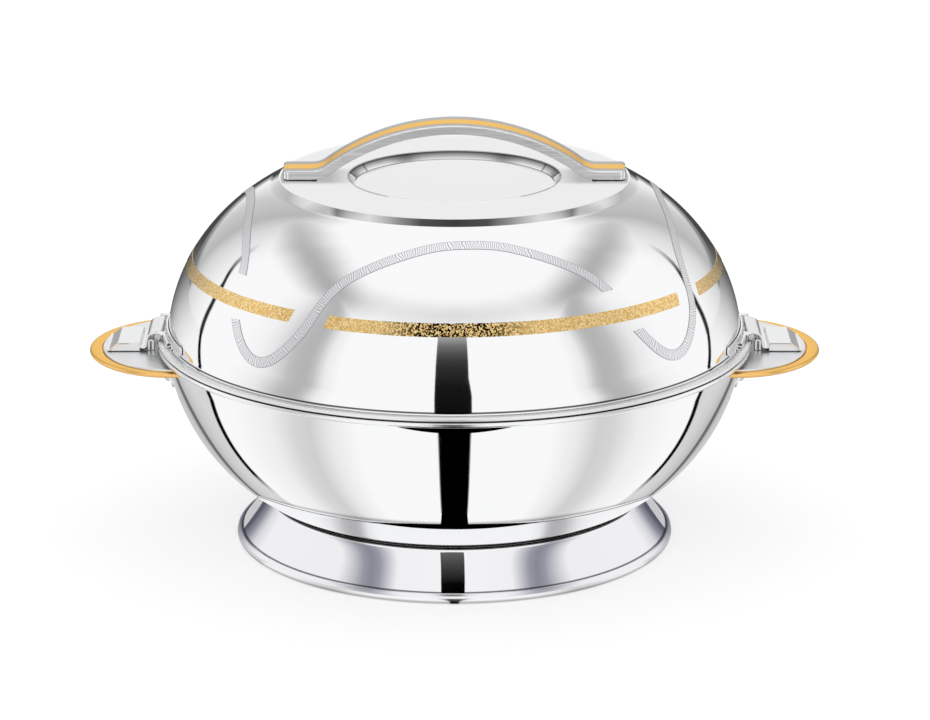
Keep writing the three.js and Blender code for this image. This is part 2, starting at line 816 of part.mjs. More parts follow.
// Hinge bracket: a strip pressed to the dome with a rolled lower edge and two knuckles
function hingeBracket() {
  const beadHeight = brimTop + fitGap + stripBeadRadius;
  const lower = domeAngleAtHeight(beadHeight);
  const upper = domeAngleAtHeight(hingeHeight + stripRise);
  const face = offsetPath(roundedPath(domePath(lower, upper, stripSteps)), -fitGap - stripSheet);
  const strip = solid(turned(sheetOutline(face, stripSheet)));
  const beadCentre = domeCentreRadius + domeReach * Math.cos(lower) + fitGap + stripBeadRadius;
  const bead = solid(turned(roundedPath(ellipseArc(
    beadCentre, beadHeight, stripBeadRadius, stripBeadRadius, 0, 2 * Math.PI, stripBeadSteps,
  ).slice(1))));
  const half = strapHalfWidth + fitGap;
  const low = brimTop - cutOverrun;
  const high = hingeHeight + stripRise + cutOverrun;
  const block = (reach, bottom, top, turn) => solid(alongX(roundedPath([
    [0, bottom], [reach, bottom, turn], [reach, top, turn], [-reach, top, turn], [-reach, bottom, turn],
    [0, bottom],
  ]).slice(1), earRoot - earReach, rimRadius));
  const plate = strip.intersect(block(stripHalfLength, beadHeight, hingeHeight + stripRise, stripEndTurn));
  const roll = bead.subtract(block(half, low, high, 0)).intersect(block(stripBeadHalfLength, low, high, 0));
  const wall = offsetPath(roundedPath(domePath(lower, upper, stripSteps)), -fitGap);
  const wallTop = wall[stripSteps].y;
  const keepOut = [new THREE.Vector2(0, wall[0].y), ...wall, new THREE.Vector2(0, wallTop)];
  const rootReach = domeWallRadius * Math.cos(flatAngle) - cutOverrun;
  const web = roundedPath([...rolledEdge(rollAngle - Math.PI), [rootReach, hingeHeight + knuckleRadius]]);
  const knuckle = sheetOutline(web, strapSheet);
  let bracket = plate.add(roll);
  [[-half - knuckleLength, -half], [half, half + knuckleLength]].forEach(([from, to]) => {
    bracket = bracket.add(solid(alongY(knuckle, from, to)));
  });
  return geometryOf(bracket.subtract(solid(turned(keepOut))));
}

// Hinge pin along Y with a small head at each end
function hingePin() {
  const seat = strapHalfWidth + fitGap + knuckleLength + fitGap;
  const end = seat + pinHeadLength;
  const outline = roundedPath([
    [0, -end], [pinHeadRadius, -end], [pinHeadRadius, -seat], [pinRadius, -seat],
    [pinRadius, seat], [pinHeadRadius, seat], [pinHeadRadius, end], [0, end],
  ]);
  return turned(outline, smallFlats).rotateX(Math.PI / 2).translate(hingeReach, 0, hingeHeight);
}

// Strap: rolled knuckle, crest over the rim, sprung catch and a raised finger tab with side walls
function latchStrap() {
  const top = hingeHeight + knuckleRadius;
  const crestEnd = hingeReach + crestRun;
  const valleyFloor = earTop + valleyRise;
  const valleyStart = crestEnd + catchRun;
  const tabStart = valleyStart + valleyWidth;
  const tabTop = earTop + tabRise;
  const slopeStart = tabStart + tabLength;
  const tip = slopeStart + tabSlope;
  const bottom = earTop + tabHover;
  const path = roundedPath([
    [tip + tipLip, bottom + strapSheet],
    [tip, bottom + strapSheet],
    [slopeStart, tabTop, tabTurn],
    [tabStart, tabTop, tabTurn],
    [tabStart, valleyFloor, valleyTurn],
    [valleyStart, valleyFloor, valleyTurn],
    [crestEnd, top - crestDrop, crestTurn],
    ...rolledEdge(2 * Math.PI - rollAngle).reverse(),
  ], strapTurnSteps);
  const strip = solid(alongY(sheetOutline(path, strapSheet), -strapHalfWidth, strapHalfWidth));
  const inset = strapSheet / 2;
  const edge = offsetPath(roundedPath([
    [tip, bottom + strapSheet], [slopeStart, tabTop], [tabStart, tabTop], [tabStart, bottom],
  ]), inset);
  const wall = [...edge, new THREE.Vector2(edge[0].x, bottom)];
  const near = solid(alongY(wall, -strapHalfWidth, -strapHalfWidth + strapSheet));
  const far = solid(alongY(wall, strapHalfWidth - strapSheet, strapHalfWidth));
  return geometryOf(strip.add(near).add(far));
}

function casserole() {
  const whole = new THREE.Group();
  addPiece(whole, 'bowl_outer_shell', bowlOuterShell(), 'mirrorSteel');
  addPiece(whole, 'bowl_inner_liner', turned(sheetOutline(bowlLinerPath(), linerSheet)), 'satinSteel');
  addPiece(whole, 'bowl_insulation', bowlFoam(), 'foam');
  addPiece(whole, 'foot_ring', footRing(), 'mirrorSteel');
  addPiece(whole, 'foam_port_plug', foamPortPlug(), 'plug');
  addPiece(whole, 'lid_outer_shell', lidOuterShell(), 'mirrorSteel');
  addPiece(whole, 'lid_inner_liner', turned(sheetOutline(lidLinerPath(), linerSheet)), 'satinSteel');
  addPiece(whole, 'lid_insulation', lidFoam(), 'foam');
  addPiece(whole, 'top_handle', topHandle(), 'mirrorSteel');
  addPiece(whole, 'top_handle_inlay', topHandleInlay(), 'gold');
  [['left', Math.PI], ['right', 0]].forEach(([hand, turn]) => {
    const side = new THREE.Group();
    side.rotation.z = turn;
    whole.add(side);
    addPiece(side, `${hand}_handle_screw`, handleScrew(), 'satinSteel').position.x = screwPlace;
    addPiece(side, `${hand}_handle_washer`, handleWasher(), 'satinSteel').position.x = screwPlace;
    addPiece(side, `${hand}_ear_panel`, earPanel(), 'mirrorSteel');
    addPiece(side, `${hand}_ear_trim`, earTrim(), 'gold');
    addPiece(side, `${hand}_ear_bracket`, earBracket(), 'mirrorSteel');
    [['front', -1], ['rear', 1]].forEach(([place, sign]) => {
      const rivet = addPiece(side, `${hand}_ear_rivet_${place}`, earRivet(), 'mirrorSteel');
      rivet.applyMatrix4(rivetMatrix(turn ? -sign : sign));
    });
    addPiece(side, `${hand}_latch_keeper`, latchKeeper(), 'mirrorSteel');
    addPiece(side, `${hand}_hinge_bracket`, hingeBracket(), 'mirrorSteel');
    addPiece(side, `${hand}_hinge_pin`, hingePin(), 'satinSteel');
    addPiece(side, `${hand}_latch_strap`, latchStrap(), 'mirrorSteel');
  });
  return whole;
}

export default casserole();
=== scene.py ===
# Insulated chapati casserole: smooth pressings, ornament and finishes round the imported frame.
import math
import bmesh
import bpy
from mathutils import Matrix, Vector


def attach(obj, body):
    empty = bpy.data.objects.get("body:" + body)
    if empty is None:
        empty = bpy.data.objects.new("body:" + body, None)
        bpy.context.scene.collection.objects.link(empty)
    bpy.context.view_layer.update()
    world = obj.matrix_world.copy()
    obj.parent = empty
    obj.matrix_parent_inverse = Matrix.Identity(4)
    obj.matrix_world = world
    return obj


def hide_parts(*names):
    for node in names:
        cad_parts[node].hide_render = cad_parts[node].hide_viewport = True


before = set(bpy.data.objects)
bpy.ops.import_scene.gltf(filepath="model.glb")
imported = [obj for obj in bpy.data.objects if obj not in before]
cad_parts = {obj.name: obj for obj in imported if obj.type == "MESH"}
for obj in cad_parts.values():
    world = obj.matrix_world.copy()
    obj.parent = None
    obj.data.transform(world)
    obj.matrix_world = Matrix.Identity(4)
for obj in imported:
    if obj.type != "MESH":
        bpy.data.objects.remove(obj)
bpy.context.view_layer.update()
mm = 0.001
print("frame loaded with", len(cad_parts), "nodes")


# Camera, at the angle of the photograph
camera = {"distance": 1.98244, "height": 0.68908, "tilt": 73.372, "lens": 148.38, "shift": 0.0113, "sensor": 36,
          "farthest": 40}

lensData = bpy.data.cameras.new("studioCamera")
lensData.sensor_width = camera["sensor"]
lensData.lens = camera["lens"]
lensData.shift_x = camera["shift"]
lensData.clip_end = camera["farthest"]
studioCamera = bpy.data.objects.new("studioCamera", lensData)
studioCamera.location = (0, -camera["distance"], camera["height"])
studioCamera.rotation_euler = (math.radians(camera["tilt"]), 0, 0)
bpy.context.collection.objects.link(studioCamera)
bpy.context.scene.camera = studioCamera
print("camera placed")


# Mesh tools, all in millimetres until a piece is finished
def shift(bm, vec, verts=None):
    bmesh.ops.translate(bm, vec=vec, verts=verts or bm.verts[:])


def stretch(bm, vec, verts=None):
    bmesh.ops.scale(bm, vec=vec, verts=verts or bm.verts[:])


def rotate(bm, angle, axis):
    bmesh.ops.rotate(bm, cent=(0, 0, 0), matrix=Matrix.Rotation(angle, 3, axis), verts=bm.verts[:])


def sweep(bm, geom, axis, angle, steps, merge=False):
    bmesh.ops.spin(bm, geom=geom, cent=(0, 0, 0), axis=axis, angle=angle, steps=steps, use_merge=merge)


def bevel(bm, geom, offset, segments, affect="VERTICES", **more):
    bmesh.ops.bevel(bm, geom=geom, offset=offset, affect=affect, segments=segments, profile=0.5, material=-1,
                    **more)


def outward(bm):
    bmesh.ops.recalc_face_normals(bm, faces=bm.faces[:])


def vertsOf(result):
    return [item for item in result["geom"] if isinstance(item, bmesh.types.BMVert)]


def addArc(bm, centreX, centreZ, reachX, reachZ, start, end, count):
    first = bm.verts.new((math.cos(math.radians(start)), 0, math.sin(math.radians(start))))
    known = set(bm.verts)
    sweep(bm, [first], (0, -1, 0), math.radians(end - start), count)
    made = [first] + [vert for vert in bm.verts if vert not in known]
    stretch(bm, (reachX, 1, reachZ), made)
    shift(bm, (centreX, 0, centreZ), made)
    return made


# A chain in the XZ plane of points (x, z), rounded points (x, z, turn) and arcs
# (centreX, centreZ, reachX, reachZ, start, end, count)
def drawChain(bm, steps, segments=5):
    last = None
    turns = []
    for step in steps:
        fresh = addArc(bm, *step) if len(step) == 7 else [bm.verts.new((step[0], 0, step[1]))]
        if last:
            bm.edges.new((last, fresh[0]))
        last = fresh[-1]
        if len(step) == 3:
            turns.append((fresh[0], step[2]))
    for vert, turn in turns:
        before, after = [(edge.other_vert(vert).co - vert.co).normalized() for edge in vert.link_edges]
        bevel(bm, [vert], turn / math.tan(before.angle(after) / 2), segments)


# Turns every face the way the face nearest to a point looks when it faces that point
def faceTowards(bm, point):
    target = Vector(point)
    near = min(bm.faces, key=lambda face: (face.calc_center_median() - target).length)
    if near.normal.dot(target - near.calc_center_median()) < 0:
        bmesh.ops.reverse_faces(bm, faces=bm.faces[:])


# Gives a surface its thickness, behind the side that a point sees
def thicken(bm, seen, thickness):
    outward(bm)
    faceTowards(bm, seen)
    bmesh.ops.solidify(bm, geom=bm.faces[:], thickness=thickness)


def turnedSolid(steps, count=48, segments=3):
    bm = bmesh.new()
    drawChain(bm, steps, segments)
    sweep(bm, bm.verts[:] + bm.edges[:], (0, 0, 1), 2 * math.pi, count, True)
    bmesh.ops.remove_doubles(bm, verts=bm.verts[:], dist=0.001)
    outward(bm)
    return bm


def turnedSheet(steps, seen, sheet, segments=5):
    bm = turnedSolid(steps, 192, segments)
    thicken(bm, seen, sheet)
    return bm


# Sheet bent along a chain and pulled across from -reach to +reach along Y
def bentSheet(steps, reach, seen, sheet, segments=5):
    bm = bmesh.new()
    drawChain(bm, steps, segments)
    shift(bm, (0, -reach, 0))
    pulled = bmesh.ops.extrude_edge_only(bm, edges=bm.edges[:])
    shift(bm, (0, 2 * reach, 0), vertsOf(pulled))
    thicken(bm, seen, sheet)
    return bm


def sharpEdges(bm, angle):
    return [edge for edge in bm.edges if len(edge.link_faces) == 2 and edge.calc_face_angle() > angle]


# Softens the edges that turn by more than an angle
def breakEdges(bm, offset, angle=40, segments=2):
    bevel(bm, sharpEdges(bm, math.radians(angle)), offset, segments, "EDGES", clamp_overlap=True)


def cutAcross(bm, places, axis):
    plane = [int(place == axis) for place in range(3)]
    for place in places:
        bmesh.ops.bisect_plane(bm, geom=bm.verts[:] + bm.edges[:] + bm.faces[:], dist=0.0001,
                               plane_co=[place * part for part in plane], plane_no=plane)


def startGrid(columns=1, rows=1, size=1):
    bm = bmesh.new()
    bmesh.ops.create_grid(bm, x_segments=columns, y_segments=rows, size=size)
    return bm


# A plate across the X axis, from -half to +half and from low to high
def uprightPlate(half, low, high):
    bm = startGrid()
    rotate(bm, math.pi / 2, "Y")
    stretch(bm, (1, half, (high - low) / 2))
    shift(bm, (0, 0, (high + low) / 2))
    return bm


# The radius at a height of a turned wall, and the way its face looks there
def wallAt(wall, height):
    (centreX, centreZ), (reachX, reachZ) = wall["centre"], wall["reach"]
    climb = math.asin((height - centreZ) / reachZ)
    out = Vector((math.cos(climb) / reachX, math.sin(climb) / reachZ)).normalized()
    return centreX + reachX * math.cos(climb), out


# Bends an upright plate round a turned wall, some way off it
def pressOnto(bm, wall, off):
    for vert in bm.verts:
        radius, out = wallAt(wall, vert.co.z)
        vert.co.x = math.sqrt((radius + off / out.x) ** 2 - vert.co.y ** 2)


def addMesh(bm, extra):
    mesh = bpy.data.meshes.new("extra")
    extra.to_mesh(mesh)
    extra.free()
    bm.from_mesh(mesh)
    bpy.data.meshes.remove(mesh)


def placeMesh(name, bm, *finishes):
    mesh = bpy.data.meshes.new(name)
    bm.to_mesh(mesh)
    bm.free()
    for finish in finishes:
        mesh.materials.append(finish)
    piece = bpy.data.objects.new(name, mesh)
    bpy.context.collection.objects.link(piece)
    return piece


def finishPiece(name, bm, finish, body, nodes=(), crease=38, turn=0.0):
    bmesh.ops.transform(bm, matrix=Matrix.Rotation(turn, 4, "Z") @ Matrix.Scale(mm, 4), verts=bm.verts[:])
    piece = placeMesh(name, bm, finish)
    piece.data.shade_smooth()
    piece.data.set_sharp_from_angle(angle=math.radians(crease))
    even = piece.modifiers.new("evenShading", "WEIGHTED_NORMAL")
    even.keep_sharp = True
    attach(piece, body)
    if nodes:
        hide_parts(*nodes)


# Both sides of the pot: a name and the turn about the pot's axis
sides = (("left", math.pi), ("right", 0.0))


# An output of a node, which plain arithmetic turns into math nodes
class Signal:
    def __init__(self, socket):
        self.socket, self.tree = socket, socket.id_data

    def __add__(self, other):
        return calc("ADD", self, other)

    def __sub__(self, other):
        return calc("SUBTRACT", self, other)

    def __rsub__(self, other):
        return calc("SUBTRACT", other, self)

    def __mul__(self, other):
        return calc("MULTIPLY", self, other)

    def __truediv__(self, other):
        return calc("DIVIDE", self, other)

    def __abs__(self):
        return calc("ABSOLUTE", self)


def feed(socket, value):
    if isinstance(value, Signal):
        value.tree.links.new(value.socket, socket)
    else:
        socket.default_value = value


def addNode(tree, kind, feeds=None, **settings):
    node = tree.nodes.new("ShaderNode" + kind)
    for label, value in settings.items():
        setattr(node, label, value)
    for label, value in (feeds or {}).items():
        feed(node.inputs[label], value)
    return node


def signalOf(tree, kind, feeds=None, output=0, **settings):
    return Signal(addNode(tree, kind, feeds, **settings).outputs[output])


def calc(operation, *values):
    tree = next(value.tree for value in values if isinstance(value, Signal))
    return signalOf(tree, "Math", dict(enumerate(values)), operation=operation)


def atLeast(value, other):
    return calc("MAXIMUM", value, other)


def remap(value, low, high, fromLow=0.0, fromHigh=1.0, **settings):
    feeds = {"Value": value, "From Min": fromLow, "From Max": fromHigh, "To Min": low, "To Max": high}
    return signalOf(value.tree, "MapRange", feeds, "Result", **settings)


# From 0 to 1 while a value goes from low to high
def growth(value, low, high):
    return remap(value, 0.0, 1.0, low, high)


# Greys or colours along a value from 0 to whole; greys above 1 come with their top
def rampOf(value, stops, whole=1.0, top=1.0):
    node = addNode(value.tree, "ValToRGB", {0: value / whole})
    points = node.color_ramp.elements
    for place, (position, colour) in enumerate(stops):
        point = points[place] if place < 2 else points.new(position / whole)
        point.position = position / whole
        point.color = (*colour, 1) if isinstance(colour, tuple) else (*[colour / top] * 3, 1)
    return Signal(node.outputs[0]) * top if top > 1 else Signal(node.outputs[0])


def axesOf(place):
    return [Signal(part) for part in addNode(place.tree, "SeparateXYZ", {0: place}).outputs]


def objectAxes(tree):
    return axesOf(signalOf(tree, "TexCoord", output="Object"))


def lengthOf(aside, ahead):
    return calc("SQRT", aside * aside + ahead * ahead)


def degreesOf(value):
    return value * 57.29578


# Degrees from the direction ahead
def turnOf(aside, ahead):
    return degreesOf(calc("ARCTAN2", aside, ahead))


# 1 where a value lies between two others, with soft edges
def within(value, low, high, soft=0.0002):
    return growth(value, low - soft, low) * remap(value, 1.0, 0.0, high, high + soft)


def newGroup(name, inputs, outputs):
    tree = bpy.data.node_groups.new(name, "ShaderNodeTree")
    for label, value in inputs.items():
        socket = tree.interface.new_socket(name=label, in_out="INPUT", socket_type="NodeSocketFloat")
        socket.default_value = value
    for label in outputs:
        tree.interface.new_socket(name=label, in_out="OUTPUT", socket_type="NodeSocketFloat")
    given = tree.nodes.new("NodeGroupInput").outputs
    return tree, [Signal(given[label]) for label in inputs], tree.nodes.new("NodeGroupOutput").inputs


# Fine lines left by spinning and buffing round the pot's axis, with a slow change of polish
def makeSpunLines():
    tree, (count, polish, spread), result = newGroup(
        "spunLines", {"Lines": 900.0, "Polish": 0.05, "Spread": 0.04}, ("Roughness", "Height"))
    place = signalOf(tree, "TexCoord", output="Object")
    east, north, up = axesOf(place)
    turn = calc("ARCTAN2", east, north) * 1.5
    along = signalOf(tree, "CombineXYZ", {0: lengthOf(east, north) * count, 1: up * count, 2: turn})
    lines = signalOf(tree, "TexNoise", {"Scale": 1.0, "Detail": 4.0, "Vector": along})
    clouds = signalOf(tree, "TexNoise", {"Scale": 14.0, "Detail": 3.0, "Vector": place})
    mixed = lines * 0.4 + clouds * 0.6
    feed(result["Roughness"], atLeast(polish + (mixed - 0.35) * spread, 0.01))
    feed(result["Height"], lines)
    return tree


# Straight brushing along X, for flat strips
def makeBrushedGrain():
    tree, (count, polish, spread), result = newGroup(
        "brushedGrain", {"Lines": 1500.0, "Polish": 0.1, "Spread": 0.08}, ("Roughness", "Height"))
    place = signalOf(tree, "TexCoord", output="Object")
    along = signalOf(tree, "Mapping", {"Scale": (0.02, 1.0, 1.0), "Vector": place})
    lines = signalOf(tree, "TexNoise", {"Detail": 5.0, "Vector": along, "Scale": count})
    feed(result["Roughness"], atLeast(polish + (lines - 0.4) * spread, 0.01))
    feed(result["Height"], lines)
    return tree


# Small hammered dimples and bright grains
def makeHammering():
    tree, (count,), result = newGroup("hammering", {"Dimples": 900.0}, ("Grain", "Height"))
    place = signalOf(tree, "TexCoord", output="Object")
    cells = signalOf(tree, "TexVoronoi", {"Randomness": 1.0, "Vector": place, "Scale": count}, "Distance",
                     feature="F1")
    grains = signalOf(tree, "TexNoise", {"Detail": 3.0, "Vector": place, "Scale": count * 0.7})
    feed(result["Grain"], growth(grains, 0.35, 0.65))
    feed(result["Height"], cells + grains * 0.6)
    return tree


spunLines = makeSpunLines()
brushedGrain = makeBrushedGrain()
hammering = makeHammering()


def placeGroup(tree, group, **values):
    return [Signal(socket) for socket in addNode(tree, "Group", values, node_tree=group).outputs]


def startFinish(name, colour, metallic, roughness):
    finish = bpy.data.materials.new(name)
    finish.use_nodes = True
    shader = finish.node_tree.nodes["Principled BSDF"].inputs
    feed(shader["Base Color"], (*colour, 1))
    feed(shader["Metallic"], metallic)
    feed(shader["Roughness"], roughness)
    return finish, finish.node_tree, shader


def addBump(shader, height, strength, distance=0.00002):
    feeds = {"Strength": strength, "Distance": distance, "Height": height}
    feed(shader["Normal"], signalOf(height.tree, "Bump", feeds))


# A value times each part of a colour
def tintOf(value, colour):
    feeds = {place: value * part for place, part in enumerate(colour)}
    return signalOf(value.tree, "CombineColor", feeds)


def steelFinish(name, colour, group, lines, polish, spread, strength):
    finish, tree, shader = startFinish(name, colour, 1.0, polish)
    rough, height = placeGroup(tree, group, Lines=lines, Polish=polish, Spread=spread)
    feed(shader["Roughness"], rough)
    addBump(shader, height, strength)
    return finish


# Plain steels: colour, marks, fineness of the marks, roughness and its spread, strength of the marks
plainSteels = {
    "satinSteel": ((0.74, 0.75, 0.76), spunLines, 2400.0, 0.26, 0.12, 0.25),
    "brushedSteel": ((0.94, 0.943, 0.953), brushedGrain, 1800.0, 0.08, 0.06, 0.10),
    "earSteel": ((0.86, 0.865, 0.872), brushedGrain, 1800.0, 0.36, 0.10, 0.12),
    "latchSteel": ((0.88, 0.885, 0.892), brushedGrain, 1800.0, 0.24, 0.08, 0.10),
    "fastenerSteel": ((0.55, 0.56, 0.57), brushedGrain, 2600.0, 0.30, 0.15, 0.20),
}
satinSteel, brushedSteel, earSteel, latchSteel, fastenerSteel = [
    steelFinish(name, *values) for name, values in plainSteels.items()]

gold = {
    "trim": (0.97, 0.59, 0.20), "trimEdge": (0.95, 0.82, 0.52), "trimPolish": 0.22, "band": (0.93, 0.63, 0.24),
    "bandStops": ((0.3, (0.80, 0.50, 0.17)), (0.7, (0.98, 0.75, 0.37))), "bandPolish": (0.09, 0.05),
    "dimples": 1250.0, "dimpleDepth": 0.00017,
}


def makeGoldTrim():
    finish, tree, shader = startFinish("goldTrim", gold["trim"], 1.0, gold["trimPolish"])
    feed(shader["Specular Tint"], (*gold["trimEdge"], 1))
    rough, height = placeGroup(tree, brushedGrain, Lines=1400.0, Polish=gold["trimPolish"], Spread=0.10)
    feed(shader["Roughness"], rough)
    addBump(shader, height, 0.08)
    return finish


def makeGoldBand():
    finish, tree, shader = startFinish("goldBand", gold["band"], 1.0, gold["bandPolish"][0])
    grain, height = placeGroup(tree, hammering, Dimples=gold["dimples"])
    feed(shader["Base Color"], rampOf(grain, gold["bandStops"]))
    feed(shader["Roughness"], remap(grain, *gold["bandPolish"]))
    addBump(shader, height, 1.0, gold["dimpleDepth"])
    return finish


# Shares of the handle's half width, with their brightness and their roughness; the darker top and sides are
# painted reflection greys
handleCoat = {
    "half": 0.0125, "mirrorAndPaintedGreys": ((0, 0.46), (0.865, 0.46), (0.885, 0.95), (0.985, 0.95), (0.995, 0.66)),
    "rough": ((0, 0.28), (0.865, 0.28), (0.885, 0.12), (0.985, 0.12), (0.995, 0.40)), "streaks": (0.72, 1.12),
}
mirror = (0.94, 0.943, 0.953)


# Handle: a satin top, bright bevels and brushed sides, told apart by the distance from the handle's middle; the
# darker greys of the top and sides are painted reflection of grey surroundings, while their roughness is real
def makeHandleSteel():
    finish, tree, shader = startFinish("handleSteel", mirror, 1.0, 0.3)
    rough, height = placeGroup(tree, brushedGrain, Lines=1600.0, Polish=0.0, Spread=0.10)
    aside = abs(objectAxes(tree)[1]) / handleCoat["half"]
    # Painted reflection: the top and sides get darker base greys than the bevels
    base = rampOf(aside, handleCoat["mirrorAndPaintedGreys"]) * remap(height, *handleCoat["streaks"], 0.3, 0.7)
    feed(shader["Base Color"], tintOf(base, (1.0, 1.0, 1.0)))
    feed(shader["Roughness"], rampOf(aside, handleCoat["rough"]) + rough)
    addBump(shader, height, 0.10)
    return finish


# Mirror steel darkened in bands (radiusLow, radiusHigh, low, high, shade), and turned satin in patches
# (radiusLow, radiusHigh, low, high, roughness), all in metres; the bands on the lid, bowl and foot are painted
# shade in gaps and creases, and the liner's band darkens it all over inside its rim bead
def shadeAndToneSteel(name, shadeAndToneBands, patches=()):
    finish, tree, shader = startFinish(name, mirror, 1.0, 0.03)
    rough, bumps = placeGroup(tree, spunLines, Lines=700.0, Polish=0.03, Spread=0.04)
    east, north, up = objectAxes(tree)
    radius = lengthOf(east, north)
    light = 1.0
    for near, far, low, high, shade in shadeAndToneBands:
        light = remap(within(radius, near, far) * within(up, low, high), 1.0, shade) * light
    for near, far, low, high, satin in patches:
        rough = atLeast(rough, within(radius, near, far) * within(up, low, high) * satin)
    feed(shader["Base Color"], tintOf(light, mirror))
    feed(shader["Roughness"], rough)
    addBump(shader, bumps, 0.05)
    return finish


# Painted shade lines in the crease between brim and dome, along the hem's gap to the bowl's rim and round the
# recess's edge
lidSteel = shadeAndToneSteel(
    "lidSteel", [(0.1530, 0.1552, 0.1147, 0.1154, 0.12), (0.1580, 0.1620, 0.1100, 0.1124, 0.06),
                 (0.0560, 0.0571, 0.1985, 0.2010, 0.58)],
    [(0.0568, 0.0924, 0.1990, 0.2010, 0.24), (-1.0, 0.0528, 0.1930, 0.1965, 0.24),
     (0.1550, 0.1620, 0.1124, 0.1150, 0.42)])
# Painted shade in the gap where the belly meets the foot
bowlSteel = shadeAndToneSteel("bowlSteel", [(0.0995, 0.1030, 0.0230, 0.0254, 0.08)])
# Painted shade where the foot meets the belly and in the crease above the bead; satin under the bead
footSteel = shadeAndToneSteel(
    "footSteel", [(0.0995, 0.1030, 0.0243, 0.0260, 0.10), (0.1146, 0.1158, 0.0053, 0.0058, 0.25)],
    [(0.1130, 0.1200, -1.0, 0.0053, 0.28)])
# Darker all over inside the rim bead, and satin there and on the bead
rimSteel = shadeAndToneSteel(
    "rimSteel", [(0.0, 0.1560, 0.0, 0.2, 0.80)],
    [(-1.0, 0.1560, 0.0, 0.2, 0.26), (0.1560, 0.2, 0.0, 0.2, 0.22)])
goldTrim = makeGoldTrim()
goldBand = makeGoldBand()
handleSteel = makeHandleSteel()

etching = {
    "colour": (0.84, 0.85, 0.87), "stops": ((0, (0.96, 0.96, 0.98)), (1, (0.46, 0.46, 0.49))),
    "rough": (0.34, 0.5), "waves": (15.0, 0.41), "lines": 540.0, "wander": 24.0, "lean": 2.5,
    "edge": (0.86, 0.95),
}


# Contour lines etched into the ribbon, with a thin dark line along each edge
def makeEtchedRibbon():
    finish, tree, shader = startFinish("etchedRibbon", etching["colour"], 1.0, 0.38)
    run, across, up = axesOf(signalOf(tree, "UVMap", uv_map="ribbonUv"))
    waves = etching["waves"]
    even = signalOf(tree, "CombineXYZ", {0: run * waves[0], 1: across * waves[1]})
    level = signalOf(tree, "TexNoise", {"Scale": 1.0, "Detail": 1.0, "Vector": even})
    phase = run * etching["lines"] + level * etching["wander"] + across * etching["lean"]
    lines = growth(calc("SINE", phase), 0.2, 0.9)
    etched = atLeast(lines, growth(abs(across), *etching["edge"]))
    feed(shader["Base Color"], rampOf(etched, etching["stops"]))
    feed(shader["Roughness"], remap(etched, *etching["rough"]))
    addBump(shader, 1.0 - etched, 0.3, 0.00005)
    return finish


etchedRibbon = makeEtchedRibbon()


def makeFoamFinish():
    finish, tree, shader = startFinish("rigidFoam", (0.80, 0.72, 0.42), 0.0, 0.9)
    grain, height = placeGroup(tree, hammering, Dimples=420.0)
    feed(shader["Base Color"], rampOf(grain, ((0, (0.70, 0.60, 0.30)), (1, (0.86, 0.79, 0.50)))))
    addBump(shader, height, 0.5, 0.0004)
    return finish


def makePlugFinish():
    finish, tree, shader = startFinish("plugRubber", (0.03, 0.03, 0.033), 0.0, 0.6)
    grain, height = placeGroup(tree, hammering, Dimples=1600.0)
    feed(shader["Roughness"], remap(grain, 0.5, 0.75))
    addBump(shader, height, 0.2, 0.0001)
    return finish


rigidFoam = makeFoamFinish()
plugRubber = makePlugFinish()
print("finishes made")


# Bowl: outer shell, inner liner, foot ring, and foam a gap of 0.4 mm off each sheet
bowl = {
    "centre": (49.3, 119.6), "reach": (106.4, 107.6), "neckAngle": -60.3, "topAngle": -5.7, "port": 12.3,
    "rim": (158.5, 110.3, 1.5), "mouth": 140.0, "top": 111.8, "wellCentre": (88.0, 92.0),
    "wellReach": (52.0, 46.0), "floor": 46.0, "bottom": 25.0, "dish": (28.0, 60, 64), "neck": 101.2,
    "flange": (155.3, 158.5, 109.9), "sheet": 0.8,
    "foam": {"low": 29.2, "reach": (105.2, 106.4), "angles": (-58.17, -18.52), "side": 146.0, "step": 85.8,
             "top": 103.8, "lip": 141.2, "wellReach": (53.2, 47.2), "floor": 44.8},
}


def makeBowlShell():
    dish, dishEdge, dishFoot = bowl["dish"]
    flangeIn, flangeOut, flange = bowl["flange"]
    steps = [
        (bowl["port"], dish), (dishEdge, dish, 3), (dishFoot, bowl["bottom"], 3),
        (bowl["neck"], bowl["bottom"], 1),
        (*bowl["centre"], *bowl["reach"], bowl["neckAngle"], bowl["topAngle"], 56),
        (flangeIn, flange), (flangeOut, flange),
    ]
    return turnedSheet(steps, (170, 0, 80), bowl["sheet"], 4)


def makeBowlLiner():
    rimX, rimZ, rimR = bowl["rim"]
    steps = [
        (rimX - 1.6, rimZ - rimR), (rimX, rimZ, rimR, rimR, -90, 90, 12), (bowl["mouth"], bowl["top"], 3),
        (*bowl["wellCentre"], *bowl["wellReach"], 0, -90, 28), (0, bowl["floor"]),
    ]
    return turnedSheet(steps, (0, 0, 100), bowl["sheet"])


def makeBowlFoam():
    foam = bowl["foam"]
    steps = [
        (0, foam["low"]), (*bowl["centre"], *foam["reach"], *foam["angles"], 20), (foam["side"], foam["step"]),
        (foam["side"], foam["top"]), (foam["lip"], foam["top"]),
        (*bowl["wellCentre"], *foam["wellReach"], 0, -90, 28), (0, foam["floor"]),
    ]
    return turnedSolid(steps, 192)


finishPiece("bowlFoam", makeBowlFoam(), rigidFoam, "bowl", ["bowl_insulation"])
finishPiece("bowlShell", makeBowlShell(), bowlSteel, "bowl", ["bowl_outer_shell"])
finishPiece("bowlLiner", makeBowlLiner(), rimSteel, "bowl", ["bowl_inner_liner"])


